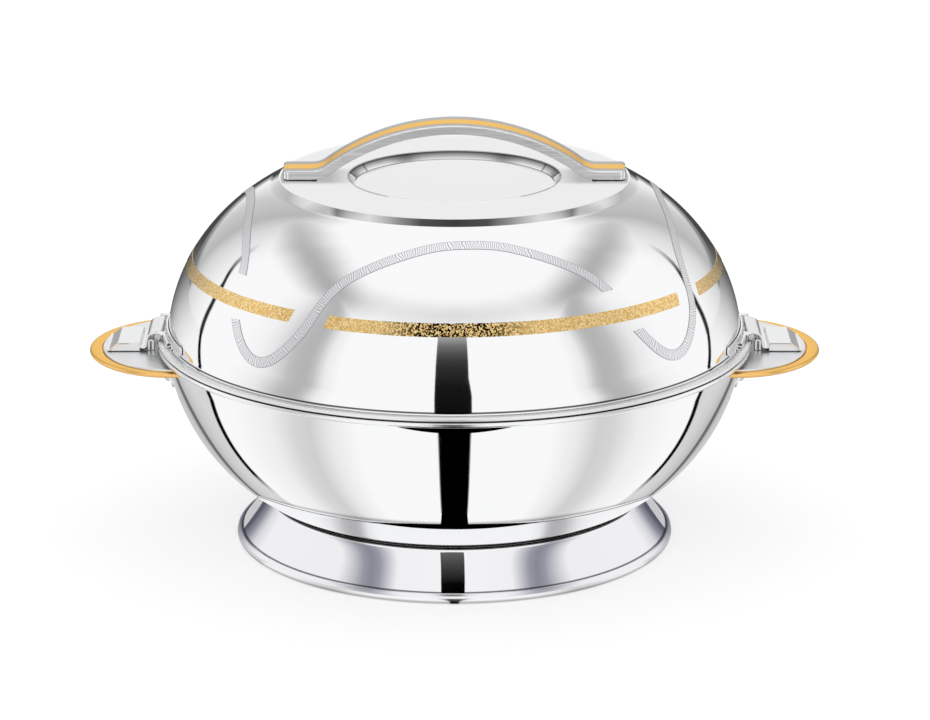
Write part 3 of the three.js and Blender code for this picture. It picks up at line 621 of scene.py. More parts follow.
# A curve through three points, as an arc's centre, reach and angles
def arcThrough(start, middle, end, count):
    a, b, c = Vector(start), Vector(middle), Vector(end)
    size = 2 * ((b - a).x * (c - a).y - (b - a).y * (c - a).x)
    centre = a + Vector((
        ((c - a).y * (b - a).length_squared - (b - a).y * (c - a).length_squared) / size,
        ((b - a).x * (c - a).length_squared - (c - a).x * (b - a).length_squared) / size,
    ))
    radius = (a - centre).length
    first, last = [math.degrees(math.atan2((spot - centre).y, (spot - centre).x)) for spot in (a, c)]
    last += 360 * round((first - last) / 360)
    return (centre.x, centre.y, radius, radius, first, last, count)


foot = {"bead": (112.6, 118.3), "beadTop": 5.4, "turn": 2.3, "hem": 4.4, "skirtFoot": 115.2,
        "hollow": (108.2, 14.65), "neck": (102.0, 23.9), "flange": (101.2, 93, 24.7), "sheet": 0.8}


def makeFootRing():
    inner, outer = foot["bead"]
    flangeOut, flangeIn, flange = foot["flange"]
    steps = [
        (inner, foot["hem"]), (inner, 0, foot["turn"]), (outer, 0, foot["turn"]),
        (outer, foot["beadTop"], foot["turn"]),
        arcThrough((foot["skirtFoot"], foot["beadTop"]), foot["hollow"], foot["neck"], 18),
        (flangeOut, flange), (flangeIn, flange),
    ]
    return turnedSheet(steps, (130, 0, 3), foot["sheet"], 6)


finishPiece("footRing", makeFootRing(), footSteel, "bowl", ["foot_ring"])
print("bowl made")


# Lid: outer shell, inner liner, foam, gold band and etched ribbon
lid = {
    "centre": (40.2, 108.9), "reach": (113.9, 101.2), "startAngle": 4.9, "stepAngle": 60.0,
    "rim": 159.6, "hem": 112.1, "brim": (153.96, 114.0), "plateau": (93.2, 199.7),
    "recess": (56.7, 53.3, 195.2),
    "innerTop": 182.1, "innerCentre": (40, 112.1), "innerReach": (94, 70), "skirt": (134, 138.6, 105.1),
    "flange": 158.5, "sheet": 0.8,
    "foam": {"low": 183.3, "high": 194, "innerReach": (95.2, 71.2), "innerEnd": 4.35, "reach": (112.7, 100.0),
             "angles": (4.93, 58.32)},
}


def makeLidShell():
    recessTop, recessFloor, floor = lid["recess"]
    brimIn, brim = lid["brim"]
    plateauEdge, plateau = lid["plateau"]
    steps = [
        (lid["rim"], lid["hem"]), (lid["rim"], brim, 0.9), (brimIn, brim, 1.2),
        (*lid["centre"], *lid["reach"], lid["startAngle"], lid["stepAngle"], 56), (plateauEdge, plateau, 0.8),
        (recessTop, plateau, 0.9), (recessFloor, floor, 1.2), (0, floor),
    ]
    return turnedSheet(steps, (0, 0, 260), lid["sheet"], 4)


def makeLidLiner():
    skirtIn, skirtOut, low = lid["skirt"]
    steps = [
        (0, lid["innerTop"]), (*lid["innerCentre"], *lid["innerReach"], 90, 0, 36), (skirtIn, low, 1.2),
        (skirtOut, low, 1.2), (skirtOut, lid["hem"], 0.6), (lid["flange"], lid["hem"]),
    ]
    return turnedSheet(steps, (0, 0, 120), lid["sheet"])


def makeLidFoam():
    foam = lid["foam"]
    steps = [
        (0, foam["low"]), (*lid["innerCentre"], *foam["innerReach"], 90, foam["innerEnd"], 36),
        (*lid["centre"], *foam["reach"], *foam["angles"], 36), (0, foam["high"]),
    ]
    return turnedSolid(steps, 192)


finishPiece("lidFoam", makeLidFoam(), rigidFoam, "lid", ["lid_insulation"])
finishPiece("lidShell", makeLidShell(), lidSteel, "lid", ["lid_outer_shell"])
finishPiece("lidLiner", makeLidLiner(), satinSteel, "lid", ["lid_inner_liner"])


# A point on the dome at an angle from the front, a height and a distance off the sheet
def onDome(angle, height, lift=0.0):
    radius, out = wallAt(lid, height)
    reach = radius + out.x * lift
    turn = math.radians(angle)
    return Vector((reach * math.sin(turn), -reach * math.cos(turn), height + out.y * lift))


ornament = {
    "bandHeight": 154.7, "bandHalf": 3.0, "bandSteps": 96, "peak": 3.6, "gapHalf": 4.3, "gapAt": -35.0,
    "slant": 0.4, "ribbonHalf": 2.75, "foil": 0.14, "lift": 0.03, "breakFrom": 32.1, "breakTo": 36.0,
    "cutRun": 9.0, "cutLevel": 0.75, "shares": (-1, -0.5, 0, 0.5, 1),
}

# How high the ribbon runs at an angle from its peak
ribbonFall = ((0, 190), (7, 189.6), (13, 187.4), (20.5, 182.9), (27.3, 176.3), (31, 169.6), (33.3, 161),
              (35.0, 150.4), (37.2, 143), (39.7, 136), (42.2, 131.2), (45, 129.3))


def ribbonPath():
    bm = bmesh.new()
    around = [(-angle, height) for angle, height in reversed(ribbonFall[1:])] + list(ribbonFall)
    last = None
    for turn in (-90, 0):
        for angle, height in around if turn else around[1:]:
            vert = bm.verts.new((angle + turn, 0, height))
            if last:
                bm.edges.new((last, vert))
            last = vert
    for _ in range(3):
        bmesh.ops.subdivide_edges(bm, edges=bm.edges[:], cuts=1)
        loose = [vert for vert in bm.verts if len(vert.link_edges) == 2]
        bmesh.ops.smooth_vert(bm, verts=loose, factor=0.5, use_axis_x=True, use_axis_z=True)
    path = sorted([(vert.co.x, vert.co.z) for vert in bm.verts])
    bm.free()
    return path


# Rows of (angle, height, distance along, across) points become one sheet of foil on the dome
def layFoil(name, rows, finish, uvName):
    columns = len(rows[0])
    bm = startGrid(len(rows) - 1, columns - 1, 0.5)
    placed = {}
    for vert in bm.verts:
        row = round((vert.co.x + 0.5) * (len(rows) - 1))
        placed[vert] = rows[row][round((vert.co.y + 0.5) * (columns - 1))]
    uvLayer = bm.loops.layers.uv.new(uvName)
    for face in bm.faces:
        for loop in face.loops:
            loop[uvLayer].uv = placed[loop.vert][2:]
    for vert, (angle, height, _, _) in placed.items():
        vert.co = onDome(angle, height, ornament["lift"] + ornament["foil"])
    middle = rows[len(rows) // 2][columns // 2]
    thicken(bm, onDome(middle[0], middle[1], 20), ornament["foil"])
    finishPiece(name, bm, finish, "lid")


def makeBand(quarter, peak):
    start = peak + ornament["gapAt"] + ornament["gapHalf"]
    end = peak + ornament["gapAt"] + 90 - ornament["gapHalf"]
    rows = []
    for step in range(ornament["bandSteps"] + 1):
        angle = start + (end - start) * step / ornament["bandSteps"]
        rows.append([
            (angle + ornament["slant"] * share, ornament["bandHeight"] + ornament["bandHalf"] * share,
             angle / 10, share) for share in ornament["shares"]])
    layFoil("goldBand%d" % quarter, rows, goldBand, "foilUv")


def makeRibbon(quarter, peak, path):
    span = [(angle, height) for angle, height in path
            if ornament["breakTo"] - 90 < angle < ornament["breakFrom"]]
    rows = []
    runs = [0.0]
    for before, after in zip(span, span[1:]):
        runs.append(runs[-1] + (onDome(*after) - onDome(*before)).length)
    for place, (angle, height) in enumerate(span):
        before = span[max(place - 1, 0)]
        after = span[min(place + 1, len(span) - 1)]
        ahead = onDome(*after) - onDome(*before)
        radius, out = wallAt(lid, height)
        rise = ahead.z / max(ahead.length, 1e-6)
        level = math.copysign(math.sqrt(max(1 - rise * rise, 0)), after[0] - before[0])
        fromEnd = min(runs[place], runs[-1] - runs[place])
        cut = ornament["cutLevel"] * max(1 - fromEnd / ornament["cutRun"], 0)
        row = []
        for share in ornament["shares"]:
            aside = ornament["ribbonHalf"] * share
            slide = -cut * aside * level / rise if cut else 0
            down = aside * level * out.x + slide * rise
            turn = math.degrees((slide * level - aside * rise) / radius)
            row.append((peak + angle + turn, height + down, (runs[place] + slide) / 100, share))
        rows.append(row)
    layFoil("etchedRibbon%d" % quarter, rows, etchedRibbon, "ribbonUv")


ribbonLine = ribbonPath()
for quarter in range(4):
    makeBand(quarter, ornament["peak"] + 90 * quarter)
    makeRibbon(quarter, ornament["peak"] + 90 * quarter, ribbonLine)
print("lid and ornament made")


# Handle: a flat blank with a groove, bent to its arch, and the inlay
handle = {
    "half": 91.0, "width": 25.0, "thick": 4.6, "footTop": 204.6, "arch": 116.0, "archTop": 229.1, "bend": 14.0,
    "endTurn": 4.0, "groove": 1.2, "edge": 1.6, "gap": 0.3, "cuts": [step * 2.2 for step in range(-43, 44)],
    "inlay": 5.1, "inlayThick": 0.9, "inlayTurn": 3.6, "inlayEnd": 0.4, "inlayEdge": 0.15,
}
archCentre = handle["archTop"] - handle["arch"]
bendHeight = handle["footTop"] + handle["bend"]
bendX = math.sqrt((handle["arch"] + handle["bend"]) ** 2 - (bendHeight - archCentre) ** 2)
lean = math.atan2(bendX, bendHeight - archCentre)
archRun = handle["arch"] * lean
bendRun = handle["bend"] * lean
halfRun = archRun + bendRun + handle["half"] - bendX


# Takes the points of the flat blank to their places on the bent bar
def bendBlank(bm):
    for vert in bm.verts:
        run, side = abs(vert.co.x), math.copysign(1, vert.co.x)
        if run < archRun:
            angle = run / handle["arch"]
            base = Vector((0, archCentre)) + Vector((math.sin(angle), math.cos(angle))) * handle["arch"]
        elif run < archRun + bendRun:
            angle = lean * (1 - (run - archRun) / bendRun)
            base = Vector((bendX, bendHeight)) - Vector((math.sin(angle), math.cos(angle))) * handle["bend"]
        else:
            angle = 0
            base = Vector((bendX + run - archRun - bendRun, handle["footTop"]))
        base += Vector((math.sin(angle), math.cos(angle))) * vert.co.z
        vert.co = Vector((side * base.x, vert.co.y, base.y))


def makeBlank(half, halfWidth, turn, thick):
    bm = startGrid()
    stretch(bm, (half, halfWidth, 1))
    shift(bm, (0, 0, -thick))
    bevel(bm, bm.verts[:], turn, 7)
    return bm


def raiseFaces(bm, faces, height):
    shift(bm, (0, 0, height), vertsOf(bmesh.ops.extrude_face_region(bm, geom=faces)))


def makeHandle():
    groove = handle["inlay"] + handle["gap"]
    bm = makeBlank(halfRun, handle["width"] / 2, handle["endTurn"], handle["thick"])
    cutAcross(bm, (-groove, groove), 1)
    raiseFaces(bm, bm.faces[:], handle["thick"] - handle["groove"])
    outward(bm)
    rails = [face for face in bm.faces if face.normal.z > 0.9 and abs(face.calc_center_median().y) > groove]
    raiseFaces(bm, rails, handle["groove"])
    bmesh.ops.delete(bm, geom=rails, context="FACES")
    outward(bm)
    breakEdges(bm, handle["edge"], 50, 3)
    cutAcross(bm, handle["cuts"], 0)
    bmesh.ops.dissolve_degenerate(bm, dist=0.001, edges=bm.edges[:])
    bendBlank(bm)
    return bm


def makeInlay():
    bm = makeBlank(halfRun - handle["inlayEnd"], handle["inlay"], handle["inlayTurn"], handle["inlayThick"])
    raiseFaces(bm, bm.faces[:], handle["inlayThick"])
    outward(bm)
    breakEdges(bm, handle["inlayEdge"], 50)
    cutAcross(bm, handle["cuts"], 0)
    bendBlank(bm)
    return bm


finishPiece("handleBar", makeHandle(), handleSteel, "lid", ["top_handle"])
finishPiece("handleInlay", makeInlay(), goldTrim, "lid", ["top_handle_inlay"])
print("handle made")


# Ears: panel, trim, bracket and rivets
ear = {
    "root": 149.0, "reach": (47.3, 54.0), "tipWidth": 6.5, "sideWidth": 4.5, "top": 106.3, "trimTop": 105.6,
    "trimBottom": 103.0, "raise": 0.9, "sheet": 1.0, "gap": 0.3,
}


# Rings of (share of the trim's width, height), bridged one to the next
def skinOvals(rings, closed):
    bm = bmesh.new()
    loops = []
    for share, height in rings:
        ring = bmesh.ops.create_circle(bm, cap_ends=False, segments=144, radius=1)["verts"]
        reachX, reachY = ear["reach"][0] - ear["tipWidth"] * share, ear["reach"][1] - ear["sideWidth"] * share
        stretch(bm, (reachX, reachY, 1), ring)
        shift(bm, (ear["root"], 0, height), ring)
        loops.append(list(dict.fromkeys(edge for vert in ring for edge in vert.link_edges)))
    for low, high in zip(loops, loops[1:] + loops[:1] if closed else loops[1:]):
        bmesh.ops.bridge_loops(bm, edges=low + high)
    if not closed:
        for loop in (loops[0], loops[-1]):
            bmesh.ops.edgeloop_fill(bm, edges=loop)
    outward(bm)
    return bm


# A block inside the bowl's wall, grown by the fit gap, that trims what butts against it
def makeWallCutter():
    reach = [value + ear["gap"] for value in bowl["reach"]]
    steps = [(0, 60), (*bowl["centre"], *reach, -33, -3, 24), (0, 113)]
    return placeMesh("wallCutter", turnedSolid(steps, 384, 1))


def trimToWall(bm, cutter):
    blank = placeMesh("blank", bm)
    cut = blank.modifiers.new("cut", "BOOLEAN")
    cut.operation = "DIFFERENCE"
    cut.solver = "EXACT"
    cut.object = cutter
    trimmed = bmesh.new()
    trimmed.from_mesh(blank.evaluated_get(bpy.context.evaluated_depsgraph_get()).data)
    bpy.data.objects.remove(blank)
    return trimmed


def makeEarPanel(cutter):
    top, trimTop = ear["top"], ear["trimTop"]
    flange = top - ear["raise"] - ear["sheet"]
    rings = [
        (1.62, top - ear["sheet"]), (1.5, flange), (1.08, flange), (1.08, trimTop), (1.11, trimTop + 0.35),
        (1.16, trimTop + 0.62), (1.24, top - 0.02), (1.32, top),
    ]
    return trimToWall(skinOvals(rings, False), cutter)


def makeEarTrim(cutter):
    top, bottom = ear["trimTop"], ear["trimBottom"]
    ledge = ear["top"] - ear["raise"] - ear["sheet"] - ear["gap"]
    middle = (top + bottom) / 2
    rings = [
        (0.45, top), (0.9, top - 0.1), (1, top - 0.3), (1, ledge), (1.4, ledge), (1.4, bottom), (0.22, bottom),
        (0.1, middle - 0.95), (0.03, middle - 0.55), (0, middle), (0.03, middle + 0.55), (0.1, middle + 0.95),
        (0.22, middle + 1.2),
    ]
    return trimToWall(skinOvals(rings, True), cutter)


bracket = {"half": 18.5, "bottom": 85.0, "top": 105.0, "turn": 8.0, "sheet": 1.2, "tongue": 172.7, "gap": 0.3,
           "grid": 1.5, "bend": 1.6, "seen": (175, 0, 95)}


# A flat plate with rounded lower corners, pressed to the belly, with a tongue turned out at its top
def makeEarBracket():
    low, high = bracket["bottom"], bracket["top"]
    bm = uprightPlate(bracket["half"], low, high)
    bevel(bm, [vert for vert in bm.verts if vert.co.z < low + 1], bracket["turn"], 8)
    cutAcross(bm, [step * bracket["grid"] for step in range(-12, 13)], 1)
    cutAcross(bm, [low + step * bracket["grid"] for step in range(1, 13)], 2)
    pressOnto(bm, bowl, bracket["gap"] + bracket["sheet"])
    upper = [edge for edge in bm.edges if all(vert.co.z > high - 0.01 for vert in edge.verts)]
    for vert in vertsOf(bmesh.ops.extrude_edge_only(bm, edges=upper)):
        vert.co.x = bracket["tongue"]
    outward(bm)
    faceTowards(bm, bracket["seen"])
    bevel(bm, sharpEdges(bm, 0.7), bracket["bend"], 4, "EDGES")
    thicken(bm, bracket["seen"], bracket["sheet"])
    breakEdges(bm, 0.2, 60)
    return bm


rivet = {"height": 93.5, "side": 10.5, "head": 4.5, "crown": 2.8, "shank": 1.8, "tail": 2.8, "tailLength": 1.0,
         "gap": 0.3, "turn": 0.3, "rim": 0.4}


def makeRivet(sign):
    seat = bracket["gap"] + bracket["sheet"] + rivet["gap"]
    tail = -bowl["sheet"] - rivet["gap"]
    end = tail - rivet["tailLength"]
    steps = [
        (0, end), (rivet["tail"], end, rivet["turn"]), (rivet["tail"], tail), (rivet["shank"], tail),
        (rivet["shank"], seat), (rivet["head"], seat, rivet["turn"]),
        (0, seat + rivet["rim"], rivet["head"], rivet["crown"] - rivet["rim"], 0, 90, 12),
    ]
    bm = turnedSolid(steps, 40)
    radius, out = wallAt(bowl, rivet["height"])
    turn = Matrix.Rotation(math.asin(sign * rivet["side"] / radius), 4, "Z")
    tilt = Matrix.Rotation(math.pi / 2 + math.atan2(-out.y, out.x), 4, "Y")
    place = turn @ Matrix.Translation((radius, 0, rivet["height"])) @ tilt
    bmesh.ops.transform(bm, matrix=place, verts=bm.verts[:])
    return bm


cutter = makeWallCutter()
for hand, turn in sides:
    finishPiece(hand + "EarPanel", makeEarPanel(cutter), earSteel, "bowl",
                [hand + "_ear_panel"], 30, turn)
    finishPiece(hand + "EarTrim", makeEarTrim(cutter), goldTrim, "bowl",
                [hand + "_ear_trim"], 45, turn)
    finishPiece(hand + "EarBracket", makeEarBracket(), brushedSteel, "bowl",
                [hand + "_ear_bracket"], 40, turn)
    for label, sign in (("Front", -1), ("Rear", 1)):
        finishPiece(hand + "Rivet" + label, makeRivet(-sign if turn else sign), brushedSteel, "bowl",
                    [hand + "_ear_rivet_" + label.lower()], 40, turn)
bpy.data.objects.remove(cutter)
print("ears made")


# Latches: strap, hinge bracket, pin and keeper
latch = {
    "axis": (158.1, 115.97), "roll": 1.67, "sheet": 0.75, "half": 15.5, "crest": (164.4, 116.0),
    "valley": 108.9, "valleyX": (165.6, 168.0), "tab": 111.3, "slope": 180.0, "tip": 185.0,
    "lip": 186.2, "low": 106.8,
}


# Side outline of the strap, from its tip to the end of the sheet rolled round the pin
def makeStrap():
    foot = latch["low"] + latch["sheet"]
    valleyIn, valleyOut = latch["valleyX"]
    steps = [
        (latch["lip"], foot), (latch["tip"], foot, 0.8), (latch["slope"], latch["tab"], 1.0),
        (valleyOut, latch["tab"], 1.0), (valleyOut, latch["valley"], 0.9), (valleyIn, latch["valley"], 0.9),
        (*latch["crest"], 3.5), (*latch["axis"], latch["roll"], latch["roll"], 90, 340, 22),
    ]
    bm = bentSheet(steps, latch["half"], (174, 0, 125), latch["sheet"], 6)
    wall = bmesh.new()
    top = latch["tab"] - 0.3
    for x, z in ((latch["tip"] - 0.6, latch["low"]), (latch["slope"] - 0.4, top), (valleyOut + 0.4, top),
                 (valleyOut + 0.4, latch["low"])):
        wall.verts.new((x, 0, z))
    bmesh.ops.contextual_create(wall, geom=wall.verts[:])
    raised = bmesh.ops.extrude_face_region(wall, geom=wall.faces[:])
    shift(wall, (0, latch["sheet"], 0), vertsOf(raised))
    outward(wall)
    breakEdges(wall, 0.15)
    for place in (-latch["half"], latch["half"] - latch["sheet"]):
        copy = wall.copy()
        shift(copy, (0, place, 0))
        addMesh(bm, copy)
    wall.free()
    return bm


plate = {"half": 58.0, "bead": 35.0, "beadRadius": 1.5, "low": 115.8, "high": 120.6, "sheet": 1.0, "gap": 0.3,
         "knuckle": (15.8, 20.3), "turn": 2.2, "grid": (1.5, 1.2), "beadSheet": 0.7, "beadArc": (150, 470, 20)}


def makeHingePlate():
    across, up = plate["grid"]
    bm = uprightPlate(plate["half"], plate["low"], plate["high"])
    bevel(bm, bm.verts[:], plate["turn"], 6)
    cutAcross(bm, [step * across for step in range(-38, 39)], 1)
    cutAcross(bm, [plate["low"] + step * up for step in (1, 2, 3)], 2)
    pressOnto(bm, lid, plate["gap"] + plate["sheet"])
    thicken(bm, (175, 0, 118), plate["sheet"])
    breakEdges(bm, 0.2, 60)
    return bm


# Tube rolled at the plate's lower edge, open at its ends, on each side of the knuckles
def addBeads(bm):
    centre = wallAt(lid, plate["low"])[0] + plate["gap"] + plate["beadRadius"]
    first = math.asin(plate["knuckle"][0] / centre)
    last = math.asin(plate["bead"] / centre)
    for sign in (-1, 1):
        tube = bmesh.new()
        drawChain(tube, [(centre, plate["low"], plate["beadRadius"], plate["beadRadius"], *plate["beadArc"])])
        rotate(tube, sign * first, "Z")
        sweep(tube, tube.verts[:] + tube.edges[:], (0, 0, sign), last - first, 16)
        seen = (centre * math.cos(first), sign * centre * math.sin(first), plate["low"] + 9)
        thicken(tube, seen, plate["beadSheet"])
        addMesh(bm, tube)


def addKnuckles(bm):
    axisX, axisZ = latch["axis"]
    near, far = plate["knuckle"]
    root = wallAt(lid, axisZ + latch["roll"])[0] + plate["gap"] + 0.2
    steps = [(root, axisZ + latch["roll"]), (axisX, axisZ, latch["roll"], latch["roll"], 90, -160, 22)]
    for sign in (-1, 1):
        roll = bentSheet(steps, (far - near) / 2, (axisX, 0, axisZ + 9), latch["sheet"])
        shift(roll, (0, sign * (far + near) / 2, 0))
        addMesh(bm, roll)


def makeHingeBracket():
    bm = makeHingePlate()
    addBeads(bm)
    addKnuckles(bm)
    return bm


pin = {"radius": 0.8, "head": 1.5, "seat": 20.6, "end": 21.4, "turn": 0.25}


def makePin():
    steps = [
        (0, -pin["end"]), (pin["head"], -pin["end"], pin["turn"]), (pin["head"], -pin["seat"]),
        (pin["radius"], -pin["seat"]), (pin["radius"], pin["seat"]), (pin["head"], pin["seat"]),
        (pin["head"], pin["end"], pin["turn"]), (0, pin["end"]),
    ]
    bm = turnedSolid(steps, 28)
    rotate(bm, math.pi / 2, "X")
    shift(bm, (latch["axis"][0], 0, latch["axis"][1]))
    return bm


keeper = {"inner": 161.1, "outer": 164.0, "foot": 106.6, "top": 112.34, "turn": 1.1, "sheet": 0.7, "half": 13.0}


def makeKeeper():
    steps = [
        (keeper["outer"], keeper["foot"]), (keeper["outer"], keeper["top"], keeper["turn"]),
        (keeper["inner"], keeper["top"], keeper["turn"]), (keeper["inner"], keeper["foot"]),
    ]
    return bentSheet(steps, keeper["half"], (162.5, 0, 125), keeper["sheet"])


for hand, turn in sides:
    finishPiece(hand + "LatchStrap", makeStrap(), latchSteel, hand + "_latch",
                [hand + "_latch_strap"], 40, turn)
    finishPiece(hand + "HingeBracket", makeHingeBracket(), latchSteel, "lid",
                [hand + "_hinge_bracket"], 40, turn)
    finishPiece(hand + "HingePin", makePin(), fastenerSteel, "lid",
                [hand + "_hinge_pin"], 40, turn)
    finishPiece(hand + "LatchKeeper", makeKeeper(), latchSteel, "bowl",
                [hand + "_latch_keeper"], 40, turn)
print("latches made")


# Solids that stay as they are and only get their finish
kept = {
    "foam_port_plug": plugRubber,
    "left_handle_screw": fastenerSteel, "right_handle_screw": fastenerSteel,
    "left_handle_washer": fastenerSteel, "right_handle_washer": fastenerSteel,
}
for node, finish in kept.items():
    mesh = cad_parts[node].data
    mesh.materials.clear()
    mesh.materials.append(finish)
print("kept solids finished")


# Studio: floor, surroundings and the dark flags that only the polished metal shows
studio = {
    "floor": 6.0, "floorColour": 0.60, "glow": 0.52, "world": 0.9,
    # (degrees from the front, brightness) of the surroundings, level with the pot
    "around": ((0, 1.0), (46, 1.0), (52, 0.88), (57, 0.56), (60, 0.48), (64, 0.49), (68, 0.54), (73, 0.7),
               (78, 0.85), (84, 0.94), (94, 1.0), (118, 1.0), (124, 0.97), (132, 0.86), (140, 0.72), (147, 0.5),
               (152, 0.55), (158, 0.62), (166, 0.9), (180, 0.97)),
    # the grey arch high up: its height in degrees and its darkness, at degrees from the front
    "archHeight": ((0, 52), (44, 52), (60, 50), (76, 51), (100, 52), (116, 50), (124, 47), (132, 45), (140, 41),
                   (150, 34)),
    "archDepth": ((0, 0.23), (40, 0.16), (52, 0.25), (60, 0.4), (68, 0.52), (76, 0.56), (112, 0.53), (124, 0.5),
                  (140, 0.42), (150, 0.2), (180, 0.1)),
    "archHalf": 13.0,
    # (height in degrees, degrees from the front) of the thin dark line
    "line": ((0, 121.2), (9, 121.2), (16.6, 122.9), (19.4, 125.2), (22.5, 127.5), (26.5, 129.5), (34, 132)),
    "lineHalf": 1.4,
    # the upright card of the slit: its distance, its sides low down, its sides higher up, and how clear it is
    # at shares of its height
    "slitCard": {
        "away": 0.345, "low": (-0.0360, 0.0310), "high": (-0.0355, 0.026), "bend": (0.13, 0.18), "top": 0.4,
        "clear": ((0, 0.0), (0.39, 0.008), (0.505, 0.024), (0.5675, 0.041), (0.6325, 0.084), (0.7025, 0.167),
                  (0.7825, 0.36), (0.925, 1.0)),
    },
    "footCards": {
        "edges": ((0.1031, 0.0246), (0.152, 0.058), (0.281, 0.0008)), "shift": -0.00135, "under": 0.0003,
        "halves": ((0, 0.0063), (0.145, 0.0072), (0.26, 0.0079), (0.5, 0.0092), (0.71, 0.0103), (1, 0.0112)),
        "clear": (0.14, 0.141), "span": (0.0, 168.0), "drift": 4.0, "blue": 0.86,
        "greys": ((0, 0.95), (18, 0.92), (21.5, 0.6), (25, 0.33), (28.5, 0.26), (32, 0.33), (37, 0.6),
                  (43, 0.9), (93, 0.92), (103, 0.72), (113, 0.3), (124, 0.1), (132, 0.12), (140, 0.3),
                  (168, 0.35)),
    },
    "paleCards": {
        "plateau": (0.0568, 0.0925, 0.2003), "recess": (0.0, 0.0527, 0.1957), "level": 0.87, "shade": 0.5,
        "fade": 0.006, "feet": (0.052, 0.066),
    },
    "grainCard": {"size": 1400.0, "span": 22.0, "lift": 0.7, "more": 0.4, "grain": (0.42, 0.55),
                  "dark": ((0, 1.0), (0.018, 1.0), (0.027, 0.75), (0.037, 0.25), (0.047, 0.0)), "reach": 0.1},
    # the arcs are black sheets in shaded places under the rim and beside the foot: painted shade in reflections
    # half the angle, two edges (radius, height, change of radius at the ends), and a point that it faces
    "arcs": {
        "neckArc": (27.0, (0.1145, 0.013, 0.0030), (0.1212, 0.013, -0.0037), (0, -0.114, 0.1)),
        "rimArc": (12.8, (0.1558, 0.104, 0.0066), (0.1631, 0.104, 0.0001), (0, -0.161, 0.2)),
    },
    "joinCard": (0.1205, 0.136, 0.0086, 0.0131),
    "stepStrip": {
        "edges": ((0.0934, 0.2003), (0.0971, 0.1973)), "span": 52.0, "reach": 0.1,
        "clear": ((0, 0.05), (0.017, 0.08), (0.029, 0.3), (0.044, 0.75), (0.055, 0.65), (0.061, 0.35),
                  (0.065, 1.0)),
    },
    "wallStrip": {"radii": (0.0500, 0.0556), "height": 0.201, "span": 140.0,
                  "clear": ((0, 1.0), (0.45, 0.5), (0.8, 0.2), (1, 0.1))},
}

# The floor's greys in reflections, at distances from the pot's axis in metres
floorGreys = {
    # the slit's slope, near and gained with distance, its soft edge, and where it grows wider
    "slit": (0.058, 0.095), "slitSoft": 0.004, "widening": (0.3, 0.119, 0.134),
    # shares of a half turn, in the first reflection and in later ones, seen from a point before the axis
    "eye": 0.055,
    "band": ((0, 1.0), (0.2, 1.0), (0.26, 0.86), (0.305, 0.66), (0.34, 0.7), (0.4, 0.9), (0.5, 1.0), (1, 1.0)),
    "later": ((0, 1.0), (0.14, 1.0), (0.19, 0.85), (0.24, 0.45), (0.28, 0.27), (0.32, 0.4), (0.38, 0.9),
              (0.5, 1.0), (1, 1.0)),
    "bandEnd": (0.35, 0.9),
    # the joint behind the pot: the place where it bends, its two slopes, its start, and its thin line
    "joint": (0.309, 0.346, 0.61, 0.013), "step": 0.02, "line": (0.020, 0.032), "lineStart": (0.13, 0.155),
    # brightness behind the joint, from 20 degrees before to 20 degrees after a line that turns with distance
    "side": ((0, 0.7), (0.2, 0.64), (0.41, 0.52), (0.455, 0.15), (0.545, 0.15), (0.6, 0.48), (0.75, 0.6),
             (1, 0.6)),
    "sideTurn": (168.0, 71.2), "sideHalf": 20.0, "sideEnd": 0.96, "far": (0.33, 0.42),
    "distant": ((0, 1.0), (0.66, 1.0), (0.689, 0.96), (0.733, 0.82), (0.778, 0.6), (0.817, 0.34), (0.85, 0.16),
                (0.889, 0.07), (1, 0.06)),
    # the floor's reflected brightness is darkened close round the foot: a painted contact shadow
    "contactShadow": (0.5, 0.1185, 0.1225),
}


def addPlane(name, finish, points, count=1, facing=None):
    bm = startGrid(1, count)
    for vert in bm.verts:
        vert.co = Vector(points(vert.co.x, vert.co.y))
    bm.normal_update()
    if facing:
        faceTowards(bm, facing)
    piece = placeMesh(name, bm, finish)
    return piece


def plainMaterial(name):
    finish = bpy.data.materials.new(name)
    finish.use_nodes = True
    tree = finish.node_tree
    tree.nodes.remove(tree.nodes["Principled BSDF"])
    return finish, tree, tree.nodes["Material Output"].inputs["Surface"]


def rayOf(tree, label):
    return signalOf(tree, "LightPath", output=label)


# A value that only the first reflection shows, and another for the later ones
def firstOnly(tree, value, later=1.0):
    return remap(calc("LESS_THAN", rayOf(tree, "Glossy Depth"), 1.5), later, value)


